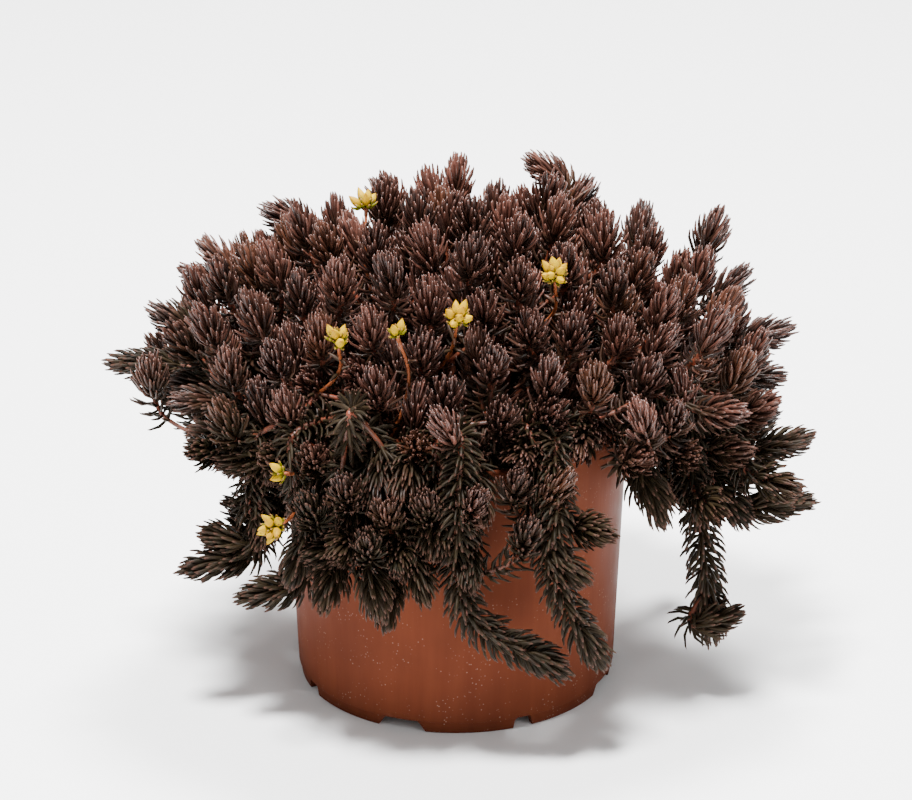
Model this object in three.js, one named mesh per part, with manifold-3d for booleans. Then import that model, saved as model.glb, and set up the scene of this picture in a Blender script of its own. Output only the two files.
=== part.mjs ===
// A potted stonecrop with chocolate-brown needle leaves: a plastic nursery pot on eight feet, potting
// soil, leafy stems that arch out of it into a wide mound and hang over the rim, and a few heads of
// yellow flower buds. Millimetres, +Z up, the front of the plant faces -Y, and the pot stands on z = 0.
import * as THREE from "three";
import { mergeVertices } from "three/addons/utils/BufferGeometryUtils.js";
import Module from "manifold-3d";

const wasm = await Module();
wasm.setup();

const DEGREE = Math.PI / 180;
const HALF_TURN = Math.PI;
const QUARTER_TURN = Math.PI / 2;
const UP = new THREE.Vector3(0, 0, 1);
const STEM_SIDE = new THREE.Vector3(0.36, 0.48, 0.8);

// The pot's driving dimensions
const POT_AXIS = { x: -2, y: -11 };
const POT_HEIGHT = 115.5;
const RIM_RADIUS = 70;
const LIP_OUT = 1.3;
const LIP_HEIGHT = 4;
const BASE_RADIUS = 64;
const WALL = 1.3;
const FLOOR = 1.6;
const FOOT_HEIGHT = 5;
const FOOT_OUTER = 63.3;
const FOOT_INNER = 59.5;
const POT_SIDES = 40;
const NOTCH_COUNT = 8;
const DRAIN_COUNT = 4;
const FIRST_NOTCH = -110;
const WIDE_NOTCH = { atFloor: 20, atTop: 14 };
const NARROW_NOTCH = { atFloor: 8.5, atTop: 6 };
const NOTCH_ROOF = 0.3;
const DRAIN_RADIUS = 4.5;
const DRAIN_CIRCLE = 50;
const DRAIN_SIDES = 8;
const CUTTER_DEPTH = 12;
const CUTTER_MARGIN = 4;
const FOOT_DRAFT = 0.4;
const LIP_SLOPE = 0.6;
const LIP_ROUND = 0.9;

// The soil and the gap that every piece keeps to its neighbour
const SEAT_GAP = 0.3;
const SOIL_TOP = 103;
const SOIL_CROWN = 3;
const SOIL_SIDES = 18;
const ROOT_DEPTH = 10;
const ROOT_Z = SOIL_TOP - ROOT_DEPTH;
const COLLAR_Z = POT_HEIGHT + 4;

// The mound that the shoot tips reach: half an ellipsoid over a lower skirt that hangs over the rim
const MOUND_Z = 116;
const MOUND_TOP = 93;
const MOUND_SIDE = 138;
const MOUND_FRONT = 88;
const MOUND_BACK = 109;
const SKIRT_DROP = 62;
const SKIRT_HUG = 92;
const EVEN_SPACING = 0.083;
const LEFT_SHOULDER = 132;
const LEFT_TUCK = 0.4;
const LEFT_TUCK_DEPTH = 45;

// Rings of leafy stems from the crown down: how many, the polar angles that a ring spans, and how
// far from the pot's axis its stems are rooted
const RINGS = [
  { count: 1, from: -11, to: 11, root: 0 },
  { count: 5, from: 11, to: 30, root: 15 },
  { count: 9, from: 30, to: 51, root: 27 },
  { count: 10, from: 51, to: 74, root: 38 },
  { count: 10, from: 74, to: 98, root: 48 },
];
const RING_OFFSET = 0.37;
const SKIRT_AZIMUTHS = [-172, -152, -135, -111, -92, -30, -9, 24, 80, 140];
const SKIRT = { from: 98, to: 128, span: 20, root: 57 };

// The four heads of a leafy stem in its cell, and how far they stray from an even pattern
const HEAD_SPOTS = [[-0.25, -0.25], [-0.25, 0.25], [0.25, -0.25], [0.25, 0.25]];
const SPOT_STRAY = 0.2;
const DEPTH_STRAY = 13;
const STRAY = 0.5;
const HEAD_LIFT = 0.25;
const CROWN_LIFT = { from: 128, span: 20, sides: 0.5, front: 0.8 };
const HEAD_SPACING = 24;
const BUD_SPACING = 17;
const SPREAD_ROUNDS = 25;
const SPREAD_STEP = 0.5;

// How a low head turns down beside the pot's wall, and how stems bend clear of each other and the rim
const WALL_TURNS = 14;
const WALL_ROOM = 7;
const TURN_DOWN = 0.16;
const TURN_IN = 0.04;
const BEND_ROUNDS = 60;
const RIM_SAMPLES = [0, 0.15, 0.3, 0.45, 0.6, 0.75, 0.9];
const RIM_ROOM = 4;
const RIM_LIFT = 1.5;
const STEM_TO_STEM = 6;
const STEM_TO_HEAD = 7;
const TOUCHING = 0.1;

// How a stem arches: how far it first rises, how straight it runs into its head, and how high and how
// far out it passes the rim where it hangs
const FIRST_RISE = 0.45;
const RUN_IN = 0.35;
const OVER_RIM = 133;
const RIM_ARCH = 6.5;
const RIM_CLEARANCE = 15.3;
const HANG_REACH = 0.87;

// A shoot: a bare stem, then a leafy head of needles on a slim core
const MAIN_RADII = [1.5, 1.2];
const SIDE_RADII = [1.1, 1];
const STALK_RADIUS = 0.8;
const CORE_RADII = [1.5, 1.7, 1.6, 1.1];
const MAIN_SHARES = [0.3, 0.6, 1];
const JOINT = 3;
const KNUCKLE = 2.8;
const KNUCKLE_RADIUS = 1.7;
const SHORT_SIDE = 26;
const TRAILER_SHARES = [0.15, 0.35, 0.6, 0.8, 1];
const TRAILER_SLACK = 1.04;
const SIDE_BANDS = 4;
const HEAD_BANDS = 3;
const BAND = 4;
const CORE_TIP = 1.6;
const RING_TURN = 60;
const BAND_TWIST = 17;
const NEEDLE_LENGTH = 11.2;
const NEEDLE_VARIATION = 0.16;
const LOW_NEEDLE_ANGLE = 60;
const HIGH_NEEDLE_ANGLE = 24;
const NEEDLE_OPENING = 3;
const TIP_NEEDLE_ANGLE = 13;
const TIP_REACH = 9.5;

// The bar that stands for a needle while it looks for room: how thick it is at its ends, where on the
// needle it starts, and the gap that it keeps
const NEEDLE_BAR = { rootRadius: 1.7, tipRadius: 0.05, from: 0.12 };
const STEM_MARGIN = 0.1;
const BUD_MARGIN = 0.3;
const CLEAR = 0.25;
const HEAD_CORE_ROOM = 5;
const LEAST_ANGLE = 5;
const POT_ROOM = 1;
const FIRST_NEEDLE_DRAW = 500;

// What a needle does about a neighbour in its way, in turn: how far it leans over, and the share of
// its length that it keeps
const NEEDLE_TRIES = [[0, 1], [-14, 1], [12, 0.95], [0, 0.8], [-20, 0.85], [0, 0.6], [-14, 0.6]];

// Shoots that stand out of the mound, each the tip of one head: place, and the way that it points
// as a heading round the pot and a rise above the horizon, with more leaves than most on some
const OUTSTANDING = [
  { tip: [-142, 8, 130], heading: 178, rise: 4, bands: 5 },
  { tip: [-124, 22, 149], heading: 165, rise: 28 },
  { tip: [-113, 32, 161], heading: 172, rise: 20 },
  { tip: [-104, 39, 172], heading: 150, rise: 38 },
  { tip: [-79, 47, 182], heading: 168, rise: 26 },
  { tip: [-50, 56, 177], heading: 130, rise: 50 },
  { tip: [-35, 54, 192], heading: 140, rise: 45 },
  { tip: [1, 60, 201], heading: 80, rise: 75 },
  { tip: [15, 62, 187], heading: 80, rise: 60 },
  { tip: [26, 58, 200], heading: 160, rise: 30 },
  { tip: [55, 54, 192], heading: 40, rise: 50 },
  { tip: [76, 49, 184], heading: 70, rise: 60 },
  { tip: [107, 47, 182], heading: 40, rise: 62 },
  { tip: [119, 34, 161], heading: 20, rise: 40 },
  { tip: [137, 19, 141], heading: 8, rise: 14 },
  { tip: [134, 7, 125], heading: 0, rise: 5 },
  { tip: [144, -8, 105], heading: 3, rise: 14, bands: 4 },
  { tip: [128, -12, 93], heading: 5, rise: 10 },
  { tip: [145, -20, 82], heading: -2, rise: 8, bands: 5 },
  { tip: [118, -28, 72], heading: -20, rise: -48 },
  { tip: [82, -56, 85], heading: -35, rise: -60, bands: 4 },
  { tip: [-89, -56, 55], heading: 192, rise: -8, bands: 4 },
  { tip: [-111, -44, 62], heading: 188, rise: -10, bands: 5 },
  { tip: [-103, -40, 78], heading: 175, rise: 12 },
  { tip: [-93, -31, 87], heading: 170, rise: 20 },
  { tip: [-107, -16, 107], heading: 182, rise: 6 },
  { tip: [-119, -8, 127], heading: 185, rise: 4 },
  { tip: [-79, -50, 73], heading: 240, rise: -42 },
  { tip: [-52, -82, 61], heading: -115, rise: -50 },
  { tip: [-27, -88, 55], heading: -95, rise: -55 },
  { tip: [2, -78, 134], heading: -110, rise: 40 },
  { tip: [38, -74, 146], heading: -75, rise: 42 },
  { tip: [62, -86, 97], heading: -40, rise: 8 },
  { tip: [-44, 30, 187], heading: 120, rise: 62 },
  { tip: [-45, 9, 192], heading: 150, rise: 66 },
  { tip: [17, 32, 199], heading: 80, rise: 70 },
  { tip: [-114, -34, 131], heading: 195, rise: 8 },
  { tip: [-95, -46, 110], heading: 196, rise: 0 },
  { tip: [-66, -67, 64], heading: 220, rise: -62 },
];

// Long leafy stems that hang clear of the pot: where they leave the soil, their bend over the rim, a
// point halfway down, the end of the stem, how many bands of needles they carry, and a last shoot on
// the side
const TRAILERS = [
  { root: [54, -14], over: [80, -22, 131], down: [94, -26, 90], tip: [102, -26, 31], bands: 15,
    side: { tip: [116, -32, 40], heading: 0, rise: 20 } },
  { root: [9, -54], over: [3, -77, 126], down: [3, -87, 68], tip: [37, -86, 42], bands: 16 },
  { root: [32, -49], over: [36, -71, 125], down: [38, -85, 80], tip: [54, -82, 45], bands: 13 },
  { root: [-40, 42], over: [-56, 60, 132], down: [-72, 76, 88], tip: [-76, 84, 44], bands: 6 },
  { root: [44, 38], over: [64, 53, 132], down: [82, 66, 92], tip: [92, 72, 56], bands: 5 },
];

// Heads of yellow buds, each at the top of a thin bare stalk: the middle of its buds, how many, how
// wide they spread in degrees, and the way that it points
const BUD_LENGTH = 6.5;
const BUD_STALKLET = 2;
const BUD_RADIUS = 1.55;
const BUD_BELT = 0.55;
const BUD_REACH = 6;
const BUD_STALK_RADIUS = 1;
const BUD_STALK_STEPS = [0, 1.8, 3.6];
const BUD_STALK_CAP = 0.6;
const TOP_BUD_SPREAD = 0.5;
const STALK_RISE = 12;
const STALK_NECK = 1;
const STALK_RUN_IN = 0.4;
const FLOWER_HEADS = [
  { name: "flower_buds_back", at: [-35, -7, 204], buds: 4, spread: 56, heading: 90, rise: 75 },
  { name: "flower_buds_left", at: [-45, -62, 169], buds: 4, spread: 54, heading: -94, rise: 60 },
  { name: "flower_buds_single", at: [-23, -66, 173], buds: 2, spread: 50, heading: -120, rise: 62 },
  { name: "flower_buds_middle", at: [1, -59, 177], buds: 6, spread: 60, heading: -80, rise: 55 },
  { name: "flower_buds_right", at: [38, -42, 188], buds: 8, spread: 62, heading: -90, rise: 60 },
  { name: "flower_buds_lower", at: [-67, -77, 119], buds: 2, spread: 50, heading: -130, rise: 20 },
  { name: "flower_buds_hanging", at: [-71, -82, 98], buds: 6, spread: 62, heading: -130, rise: 0 },
];

// The repeatable draws: the step and the modulus of the generator, and how a start is scattered
const SEED_STEP = 16807;
const SEED_TOP = 2147483647;
const SEED_SCATTER = 7919;
const SEED_SHIFT = 12345;

// A repeatable draw from 0 to 1, started from a number
function drawsFrom(start) {
  let state = (start * SEED_SCATTER + SEED_SHIFT) % SEED_TOP;
  return () => {
    state = (state * SEED_STEP) % SEED_TOP;
    return state / SEED_TOP;
  };
}

const vector = (x, y, z) => new THREE.Vector3(x, y, z);
const mix = (a, b, share) => a + (b - a) * share;

function pointing(headingDegrees, riseDegrees) {
  const flat = Math.cos(riseDegrees * DEGREE);
  return vector(
    flat * Math.cos(headingDegrees * DEGREE),
    flat * Math.sin(headingDegrees * DEGREE),
    Math.sin(riseDegrees * DEGREE),
  );
}

function bezier(a, b, c, d, t) {
  const s = 1 - t;
  return a.clone().multiplyScalar(s * s * s)
    .addScaledVector(b, 3 * s * s * t)
    .addScaledVector(c, 3 * s * t * t)
    .addScaledVector(d, t * t * t);
}

// The pot's outer radius at a height
function potRadius(z) {
  const share = (z - FOOT_HEIGHT) / (POT_HEIGHT - LIP_HEIGHT - FOOT_HEIGHT);
  return mix(BASE_RADIUS, RIM_RADIUS - LIP_OUT, Math.min(Math.max(share, 0), 1));
}

// The solid of a three.js geometry
function solidOf(geometry) {
  geometry.deleteAttribute("normal");
  geometry.deleteAttribute("uv");
  const merged = mergeVertices(geometry, 1e-4);
  return new wasm.Manifold(
    new wasm.Mesh({
      numProp: 3,
      vertProperties: merged.attributes.position.array,
      triVerts: new Uint32Array(merged.index.array),
    }),
  );
}

function meshOf(name, solid, material) {
  const made = solid.getMesh();
  const geometry = new THREE.BufferGeometry();
  geometry.setAttribute("position", new THREE.BufferAttribute(made.vertProperties, 3));
  geometry.setIndex(new THREE.BufferAttribute(made.triVerts, 1));
  geometry.computeVertexNormals();
  const mesh = new THREE.Mesh(geometry, material);
  mesh.name = name;
  return mesh;
}

// A solid of revolution about the pot's axis, from [radius, height] pairs that start and end on it
function turned(profile, sides) {
  const points = profile.map(([radius, height]) => new THREE.Vector2(radius, height));
  return solidOf(new THREE.LatheGeometry(points, sides).rotateX(QUARTER_TURN));
}

// One notch in the foot ring, wider at the floor, as a prism along the pot's radius
function notchCutter(angle, notch) {
  const top = FOOT_HEIGHT - NOTCH_ROOF;
  const shape = new THREE.Shape([
    new THREE.Vector2(-notch.atFloor / 2, -CUTTER_MARGIN),
    new THREE.Vector2(notch.atFloor / 2, -CUTTER_MARGIN),
    new THREE.Vector2(notch.atFloor / 2, 0),
    new THREE.Vector2(notch.atTop / 2, top),
    new THREE.Vector2(-notch.atTop / 2, top),
    new THREE.Vector2(-notch.atFloor / 2, 0),
  ]);
  const geometry = new THREE.ExtrudeGeometry(shape, { depth: CUTTER_DEPTH, bevelEnabled: false });
  const radial = pointing(angle, 0);
  const tangent = UP.clone().cross(radial);
  const place = new THREE.Matrix4().makeBasis(tangent, UP, radial);
  place.setPosition(radial.multiplyScalar(FOOT_INNER - CUTTER_MARGIN));
  return solidOf(geometry.applyMatrix4(place));
}

function drainCutter(angle) {
  const geometry = new THREE.CylinderGeometry(DRAIN_RADIUS, DRAIN_RADIUS, CUTTER_DEPTH, DRAIN_SIDES);
  geometry.rotateX(QUARTER_TURN);
  const centre = pointing(angle, 0).multiplyScalar(DRAIN_CIRCLE);
  geometry.translate(centre.x, centre.y, FOOT_HEIGHT);
  return solidOf(geometry);
}

function potSolid() {
  const underLip = POT_HEIGHT - LIP_HEIGHT;
  let solid = turned([
    [0, FOOT_HEIGHT],
    [FOOT_INNER, FOOT_HEIGHT],
    [FOOT_INNER, 0],
    [FOOT_OUTER - FOOT_DRAFT, 0],
    [FOOT_OUTER, FOOT_HEIGHT],
    [BASE_RADIUS, FOOT_HEIGHT],
    [potRadius(underLip), underLip],
    [RIM_RADIUS, underLip + LIP_SLOPE],
    [RIM_RADIUS, POT_HEIGHT - LIP_ROUND],
    [RIM_RADIUS - LIP_ROUND, POT_HEIGHT],
    [potRadius(POT_HEIGHT) - WALL, POT_HEIGHT],
    [BASE_RADIUS - WALL, FOOT_HEIGHT + FLOOR],
    [0, FOOT_HEIGHT + FLOOR],
  ], POT_SIDES);
  for (let i = 0; i < NOTCH_COUNT; i++) {
    const angle = FIRST_NOTCH + (i * 360) / NOTCH_COUNT;
    solid = solid.subtract(notchCutter(angle, i % 2 ? NARROW_NOTCH : WIDE_NOTCH));
  }
  for (let i = 0; i < DRAIN_COUNT; i++) {
    solid = solid.subtract(drainCutter(FIRST_NOTCH + (i * 360) / DRAIN_COUNT));
  }
  return solid;
}

// The soil fills the pot, with one plain three-sided hole for each stem
function soilSolid(roots) {
  const bottom = FOOT_HEIGHT + FLOOR + SEAT_GAP;
  const gap = WALL + 2 * SEAT_GAP;
  let solid = turned([
    [0, bottom],
    [potRadius(bottom) - gap, bottom],
    [potRadius(SOIL_TOP) - gap, SOIL_TOP],
    [0, SOIL_TOP + SOIL_CROWN],
  ], SOIL_SIDES);
  const radius = MAIN_RADII[0] + 2 * SEAT_GAP;
  const start = Math.atan2(STEM_SIDE.x, -STEM_SIDE.y);
  const depth = 2 * ROOT_DEPTH;
  for (const root of roots) {
    const geometry = new THREE.CylinderGeometry(radius, radius, depth, 3, 1, false, start);
    geometry.rotateX(QUARTER_TURN);
    geometry.translate(root.x, root.y, ROOT_Z - SEAT_GAP + depth / 2);
    solid = solid.subtract(solidOf(geometry));
  }
  return solid;
}

// Where the mound's surface lies, by polar angle from the crown and azimuth round the pot
function moundPoint(polar, azimuth) {
  const around = azimuth + EVEN_SPACING * Math.sin(2 * azimuth);
  const reach = Math.sin(around) < 0 ? MOUND_FRONT : MOUND_BACK;
  const drop = polar < QUARTER_TURN ? MOUND_TOP : SKIRT_DROP;
  const point = vector(
    MOUND_SIDE * Math.sin(polar) * Math.cos(around),
    reach * Math.sin(polar) * Math.sin(around),
    MOUND_Z + drop * Math.cos(polar),
  );
  const flat = Math.hypot(point.x, point.y);
  if (polar > QUARTER_TURN && flat < SKIRT_HUG) {
    point.x *= SKIRT_HUG / flat;
    point.y *= SKIRT_HUG / flat;
  }
  return point;
}

// How far out a point lies, with 1 on the mound's surface
function moundLevel(point) {
  const reach = point.y < 0 ? MOUND_FRONT : MOUND_BACK;
  const rise = point.z - MOUND_Z;
  return Math.hypot(point.x / MOUND_SIDE, point.y / reach, rise / (rise > 0 ? MOUND_TOP : SKIRT_DROP));
}

// The way that a head at a point of the mound points: out of the mound and up, most of all high in the
// mound and at its front, and a little astray
function moundDirection(point, draw) {
  const reach = point.y < 0 ? MOUND_FRONT : MOUND_BACK;
  const out = vector(
    point.x / MOUND_SIDE ** 2,
    point.y / reach ** 2,
    (point.z - MOUND_Z) / MOUND_TOP ** 2,
  ).normalize();
  const high = Math.min(Math.max((point.z - CROWN_LIFT.from) / CROWN_LIFT.span, 0), 1);
  const lift = HEAD_LIFT + high * (CROWN_LIFT.sides + CROWN_LIFT.front * out.y ** 2);
  out.x += (draw() - 0.5) * STRAY;
  out.y += (draw() - 0.5) * STRAY;
  out.z += (draw() - 0.5) * STRAY + lift;
  return out.normalize();
}

// The core of a head: where its stem ends and its leaves begin, and its points from there on
function baseOf({ tip, way, bands }) {
  return tip.clone().addScaledVector(way, -(bands * BAND + CORE_TIP + TIP_REACH));
}

function coreOf(head) {
  const base = baseOf(head);
  const core = [];
  for (let band = 1; band <= head.bands; band++) {
    core.push(base.clone().addScaledVector(head.way, band * BAND));
  }
  return core;
}

// Draws in the heads low on the left, where the mound is slim
function tuckIn(head) {
  if (head.tip.x > 0) return;
  const low = Math.min(Math.max((LEFT_SHOULDER - head.tip.z) / LEFT_TUCK_DEPTH, 0), 1);
  head.tip.x *= 1 - LEFT_TUCK * low;
  const flat = Math.hypot(head.tip.x, head.tip.y);
  if (head.tip.z > POT_HEIGHT + WALL_ROOM || flat > SKIRT_HUG) return;
  head.tip.x *= SKIRT_HUG / flat;
  head.tip.y *= SKIRT_HUG / flat;
}

// Turns a head down until its base stands clear of the pot's wall
function clearOfWall(head) {
  for (let i = 0; i < WALL_TURNS; i++) {
    const base = baseOf(head);
    const flat = Math.hypot(base.x, base.y);
    if (base.z > POT_HEIGHT + WALL_ROOM || flat > RIM_RADIUS + WALL_ROOM) break;
    const out = vector(head.tip.x, head.tip.y, 0).normalize();
    head.way.addScaledVector(UP, -TURN_DOWN).addScaledVector(out, -TURN_IN).normalize();
  }
}

// The cells of the mound's surface, one for each leafy stem, ring by ring from the crown
function moundCells() {
  const cells = [];
  RINGS.forEach((ring, level) => {
    for (let i = 0; i < ring.count; i++) {
      cells.push({
        polar: ((ring.from + ring.to) / 2) * DEGREE,
        polarSpan: (ring.to - ring.from) * DEGREE,
        azimuth: ((i + level * RING_OFFSET) / ring.count) * 2 * HALF_TURN - QUARTER_TURN,
        azimuthSpan: (2 * HALF_TURN) / ring.count,
        root: ring.root,
      });
    }
  });
  for (const azimuth of SKIRT_AZIMUTHS) {
    cells.push({
      polar: ((SKIRT.from + SKIRT.to) / 2) * DEGREE,
      polarSpan: (SKIRT.to - SKIRT.from) * DEGREE,
      azimuth: azimuth * DEGREE,
      azimuthSpan: SKIRT.span * DEGREE,
      root: SKIRT.root,
    });
  }
  return cells;
}

// The four heads of one leafy stem, spread over its cell
function cellHeads(cell, number) {
  const draw = drawsFrom(number + 1);
  return HEAD_SPOTS.map(([down, along]) => {
    const polar = cell.polar + cell.polarSpan * (down + (draw() - 0.5) * SPOT_STRAY);
    const azimuth = cell.azimuth + cell.azimuthSpan * (along + (draw() - 0.5) * SPOT_STRAY);
    const tip = moundPoint(Math.abs(polar), azimuth);
    const way = moundDirection(tip, draw);
    tip.addScaledVector(way, (draw() - 0.8) * DEPTH_STRAY);
    return { tip, way, level: moundLevel(tip), bands: HEAD_BANDS, fixed: false };
  });
}

// Gives each outstanding shoot the nearest head that is still free
function placeOutstanding(heads) {
  for (const { tip, heading, rise, bands } of OUTSTANDING) {
    const place = vector(...tip);
    let nearest = null;
    for (const head of heads) {
      const nearer = !nearest || head.tip.distanceTo(place) < nearest.tip.distanceTo(place);
      if (!head.fixed && nearer) nearest = head;
    }
    nearest.tip.copy(place);
    nearest.way.copy(pointing(heading, rise));
    nearest.bands = bands ?? HEAD_BANDS;
    nearest.fixed = true;
  }
}

// Evens out the heads: each pair that stands too close is pushed apart along the mound's surface
function spreadHeads(heads) {
  const middle = (head) => head.tip.clone().lerp(baseOf(head), 0.5);
  const buds = FLOWER_HEADS.map((flower) => vector(...flower.at));
  for (let round = 0; round < SPREAD_ROUNDS; round++) {
    const middles = heads.map(middle);
    heads.forEach((head, i) => {
      if (head.fixed) return;
      const push = vector(0, 0, 0);
      middles.forEach((other, j) => {
        const away = middles[i].clone().sub(other);
        const distance = away.length();
        if (i === j || distance > HEAD_SPACING) return;
        push.addScaledVector(away, (HEAD_SPACING - distance) / (distance + TOUCHING) / 2);
      });
      for (const bud of buds) {
        const away = head.tip.clone().sub(bud);
        const distance = away.length();
        if (distance > BUD_SPACING) continue;
        push.addScaledVector(away, (BUD_SPACING - distance) / (distance + TOUCHING));
      }
      head.tip.addScaledVector(push, SPREAD_STEP);
      if (head.tip.z < MOUND_Z) return;
      const back = head.level / moundLevel(head.tip);
      head.tip.multiplyScalar(back);
      head.tip.z += MOUND_Z * (1 - back);
    });
  }
}

// A curve that goes through its points, by its share of the way from the first to the last
function through(points, share) {
  const last = points.length - 1;
  const place = Math.min(share * last, last - 1e-9);
  const i = Math.floor(place);
  const t = place - i;
  const at = (k) => {
    if (k < 0) return points[0].clone().multiplyScalar(2).sub(points[1]);
    if (k > last) return points[last].clone().multiplyScalar(2).sub(points[last - 1]);
    return points[k];
  };
  const weights = [
    (-t + 2 * t * t - t * t * t) / 2,
    (2 - 5 * t * t + 3 * t * t * t) / 2,
    (t + 4 * t * t - 3 * t * t * t) / 2,
    (-t * t + t * t * t) / 2,
  ];
  const point = vector(0, 0, 0);
  weights.forEach((weight, k) => point.addScaledVector(at(i - 1 + k), weight));
  return point;
}

// The main stem of a sprig, from its root in the soil up, and over the rim where it hangs
function mainStem(root, base, way) {
  const distance = root.distanceTo(base);
  const flat = Math.hypot(base.x, base.y);
  const first = root.clone();
  first.z += Math.max(FIRST_RISE * distance, OVER_RIM - root.z);
  const second = base.clone().addScaledVector(way, -RUN_IN * distance);
  if (base.z < OVER_RIM) {
    const reach = Math.max(HANG_REACH * flat, RIM_RADIUS + RIM_CLEARANCE) / flat;
    second.set(base.x * reach, base.y * reach, OVER_RIM + RIM_ARCH);
  }
  const collar = vector(root.x, root.y, COLLAR_Z);
  return [root, collar, ...MAIN_SHARES.map((share) => bezier(collar, first, second, base, share))];
}

function sideStem(start, along, base, way) {
  const distance = start.distanceTo(base);
  const first = start.clone().addScaledVector(along, RUN_IN * distance);
  const second = base.clone().addScaledVector(way, -RUN_IN * distance);
  if (distance < SHORT_SIDE) return [start, base];
  return [start, bezier(start, first, second, base, 0.5), base];
}

// One shoot: the points of its path, how thick it is at each, and where its leaves begin
function shootOf(stem, core, stemRadii, way) {
  const points = [...stem, ...core];
  const leafFrom = stem.length - 1;
  const radii = points.map((point, i) => {
    if (i < leafFrom) return mix(stemRadii[0], stemRadii[1], i / leafFrom);
    const fromTip = points.length - 1 - i;
    return CORE_RADII[Math.max(CORE_RADII.length - 1 - fromTip, 0)];
  });
  const end = points[points.length - 1].clone().addScaledVector(way, CORE_TIP);
  return { points, radii, leafFrom, end, held: 0 };
}

// A leafy stem of the mound: the main shoot ends in the head nearest to the middle of its heads
function sprigOf(cell, heads, number) {
  const bases = heads.map(baseOf);
  const middle = vector(0, 0, 0);
  bases.forEach((base) => middle.addScaledVector(base, 1 / bases.length));
  const order = heads.map((head, i) => i);
  order.sort((a, b) => bases[a].distanceTo(middle) - bases[b].distanceTo(middle));
  const main = order[0];
  const azimuth = Math.atan2(middle.y, middle.x);
  const root = vector(cell.root * Math.cos(azimuth), cell.root * Math.sin(azimuth), ROOT_Z);
  const stem = mainStem(root, bases[main], heads[main].way);
  const shoots = [
    shootOf(stem, coreOf(heads[main]), MAIN_RADII, heads[main].way),
  ];
  shoots[0].held = 1;
  const along = stem[JOINT].clone().sub(stem[JOINT - 1]).normalize();
  for (const side of order.slice(1)) {
    const path = sideStem(stem[JOINT], along, bases[side], heads[side].way);
    shoots.push(shootOf(path, coreOf(heads[side]), SIDE_RADII, heads[side].way));
  }
  return { name: "leafy_stem_" + String(number + 1).padStart(2, "0"), root, shoots, joint: JOINT };
}

// A long stem that hangs over the rim, leafy along its last stretch
function trailerOf({ root, over, down, tip, bands, side }, number) {
  const start = vector(root[0], root[1], ROOT_Z);
  const guide = [start, vector(...over), vector(...down), vector(...tip)];
  const leafyLength = bands * BAND;
  const length = guide.slice(1).reduce((sum, point, i) => sum + point.distanceTo(guide[i]), 0);
  const leafShare = 1 - leafyLength / (length * TRAILER_SLACK);
  const collar = vector(root[0], root[1], COLLAR_Z);
  const stem = TRAILER_SHARES.map((share) => through(guide, share * leafShare));
  stem.unshift(start, collar);
  const core = [];
  for (let band = 1; band <= bands; band++) {
    core.push(through(guide, mix(leafShare, 1, band / bands)));
  }
  const way = core[bands - 1].clone().sub(core[bands - 2]).normalize();
  const shoots = [shootOf(stem, core, MAIN_RADII, way)];
  if (side) {
    const head = {
      tip: vector(...side.tip),
      way: pointing(side.heading, side.rise),
      bands: HEAD_BANDS,
    };
    const path = [core[bands - SIDE_BANDS], baseOf(head)];
    shoots.push(shootOf(path, coreOf(head), SIDE_RADII, head.way));
  }
  shoots[0].held = 1;
  const joint = shoots[0].leafFrom + bands - SIDE_BANDS;
  return { name: "trailing_stem_" + (number + 1), root: start, shoots, joint };
}

// The nearest points of two straight stretches, as their shares of the way along each
function nearest(a, b, c, d) {
  const u = b.clone().sub(a);
  const v = d.clone().sub(c);
  const w = a.clone().sub(c);
  const uu = Math.max(u.dot(u), 1e-12);
  const uv = u.dot(v);
  const vv = Math.max(v.dot(v), 1e-12);
  const uw = u.dot(w);
  const vw = v.dot(w);
  const spread = uu * vv - uv * uv;
  let s = spread > 1e-9 ? (uv * vw - vv * uw) / spread : 0;
  s = Math.min(Math.max(s, 0), 1);
  let t = (uv * s + vw) / vv;
  if (t < 0 || t > 1) {
    t = Math.min(Math.max(t, 0), 1);
    s = Math.min(Math.max((uv * t - uw) / uu, 0), 1);
  }
  const gap = w.addScaledVector(u, s).addScaledVector(v, -t);
  return { s, t, gap, distance: gap.length() };
}

// The straight stretches of a shoot, with the two points, their radii and whether they can be moved
function stretchesOf(shoot, sprig) {
  const stretches = [];
  for (let i = 0; i + 1 < shoot.points.length; i++) {
    const leafy = i >= shoot.leafFrom;
    stretches.push({
      sprig,
      shoot,
      leafy,
      a: shoot.points[i],
      b: shoot.points[i + 1],
      radiusA: shoot.radii[i],
      radiusB: shoot.radii[i + 1],
      freeA: i > shoot.held && i < shoot.leafFrom,
      freeB: i + 1 > shoot.held && i + 1 < shoot.leafFrom,
    });
  }
  return stretches;
}

function meetsRim(point) {
  const fromRim = Math.hypot(point.x, point.y) - RIM_RADIUS;
  return Math.abs(fromRim + WALL / 2) < RIM_ROOM && point.z < POT_HEIGHT + RIM_ROOM;
}

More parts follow.
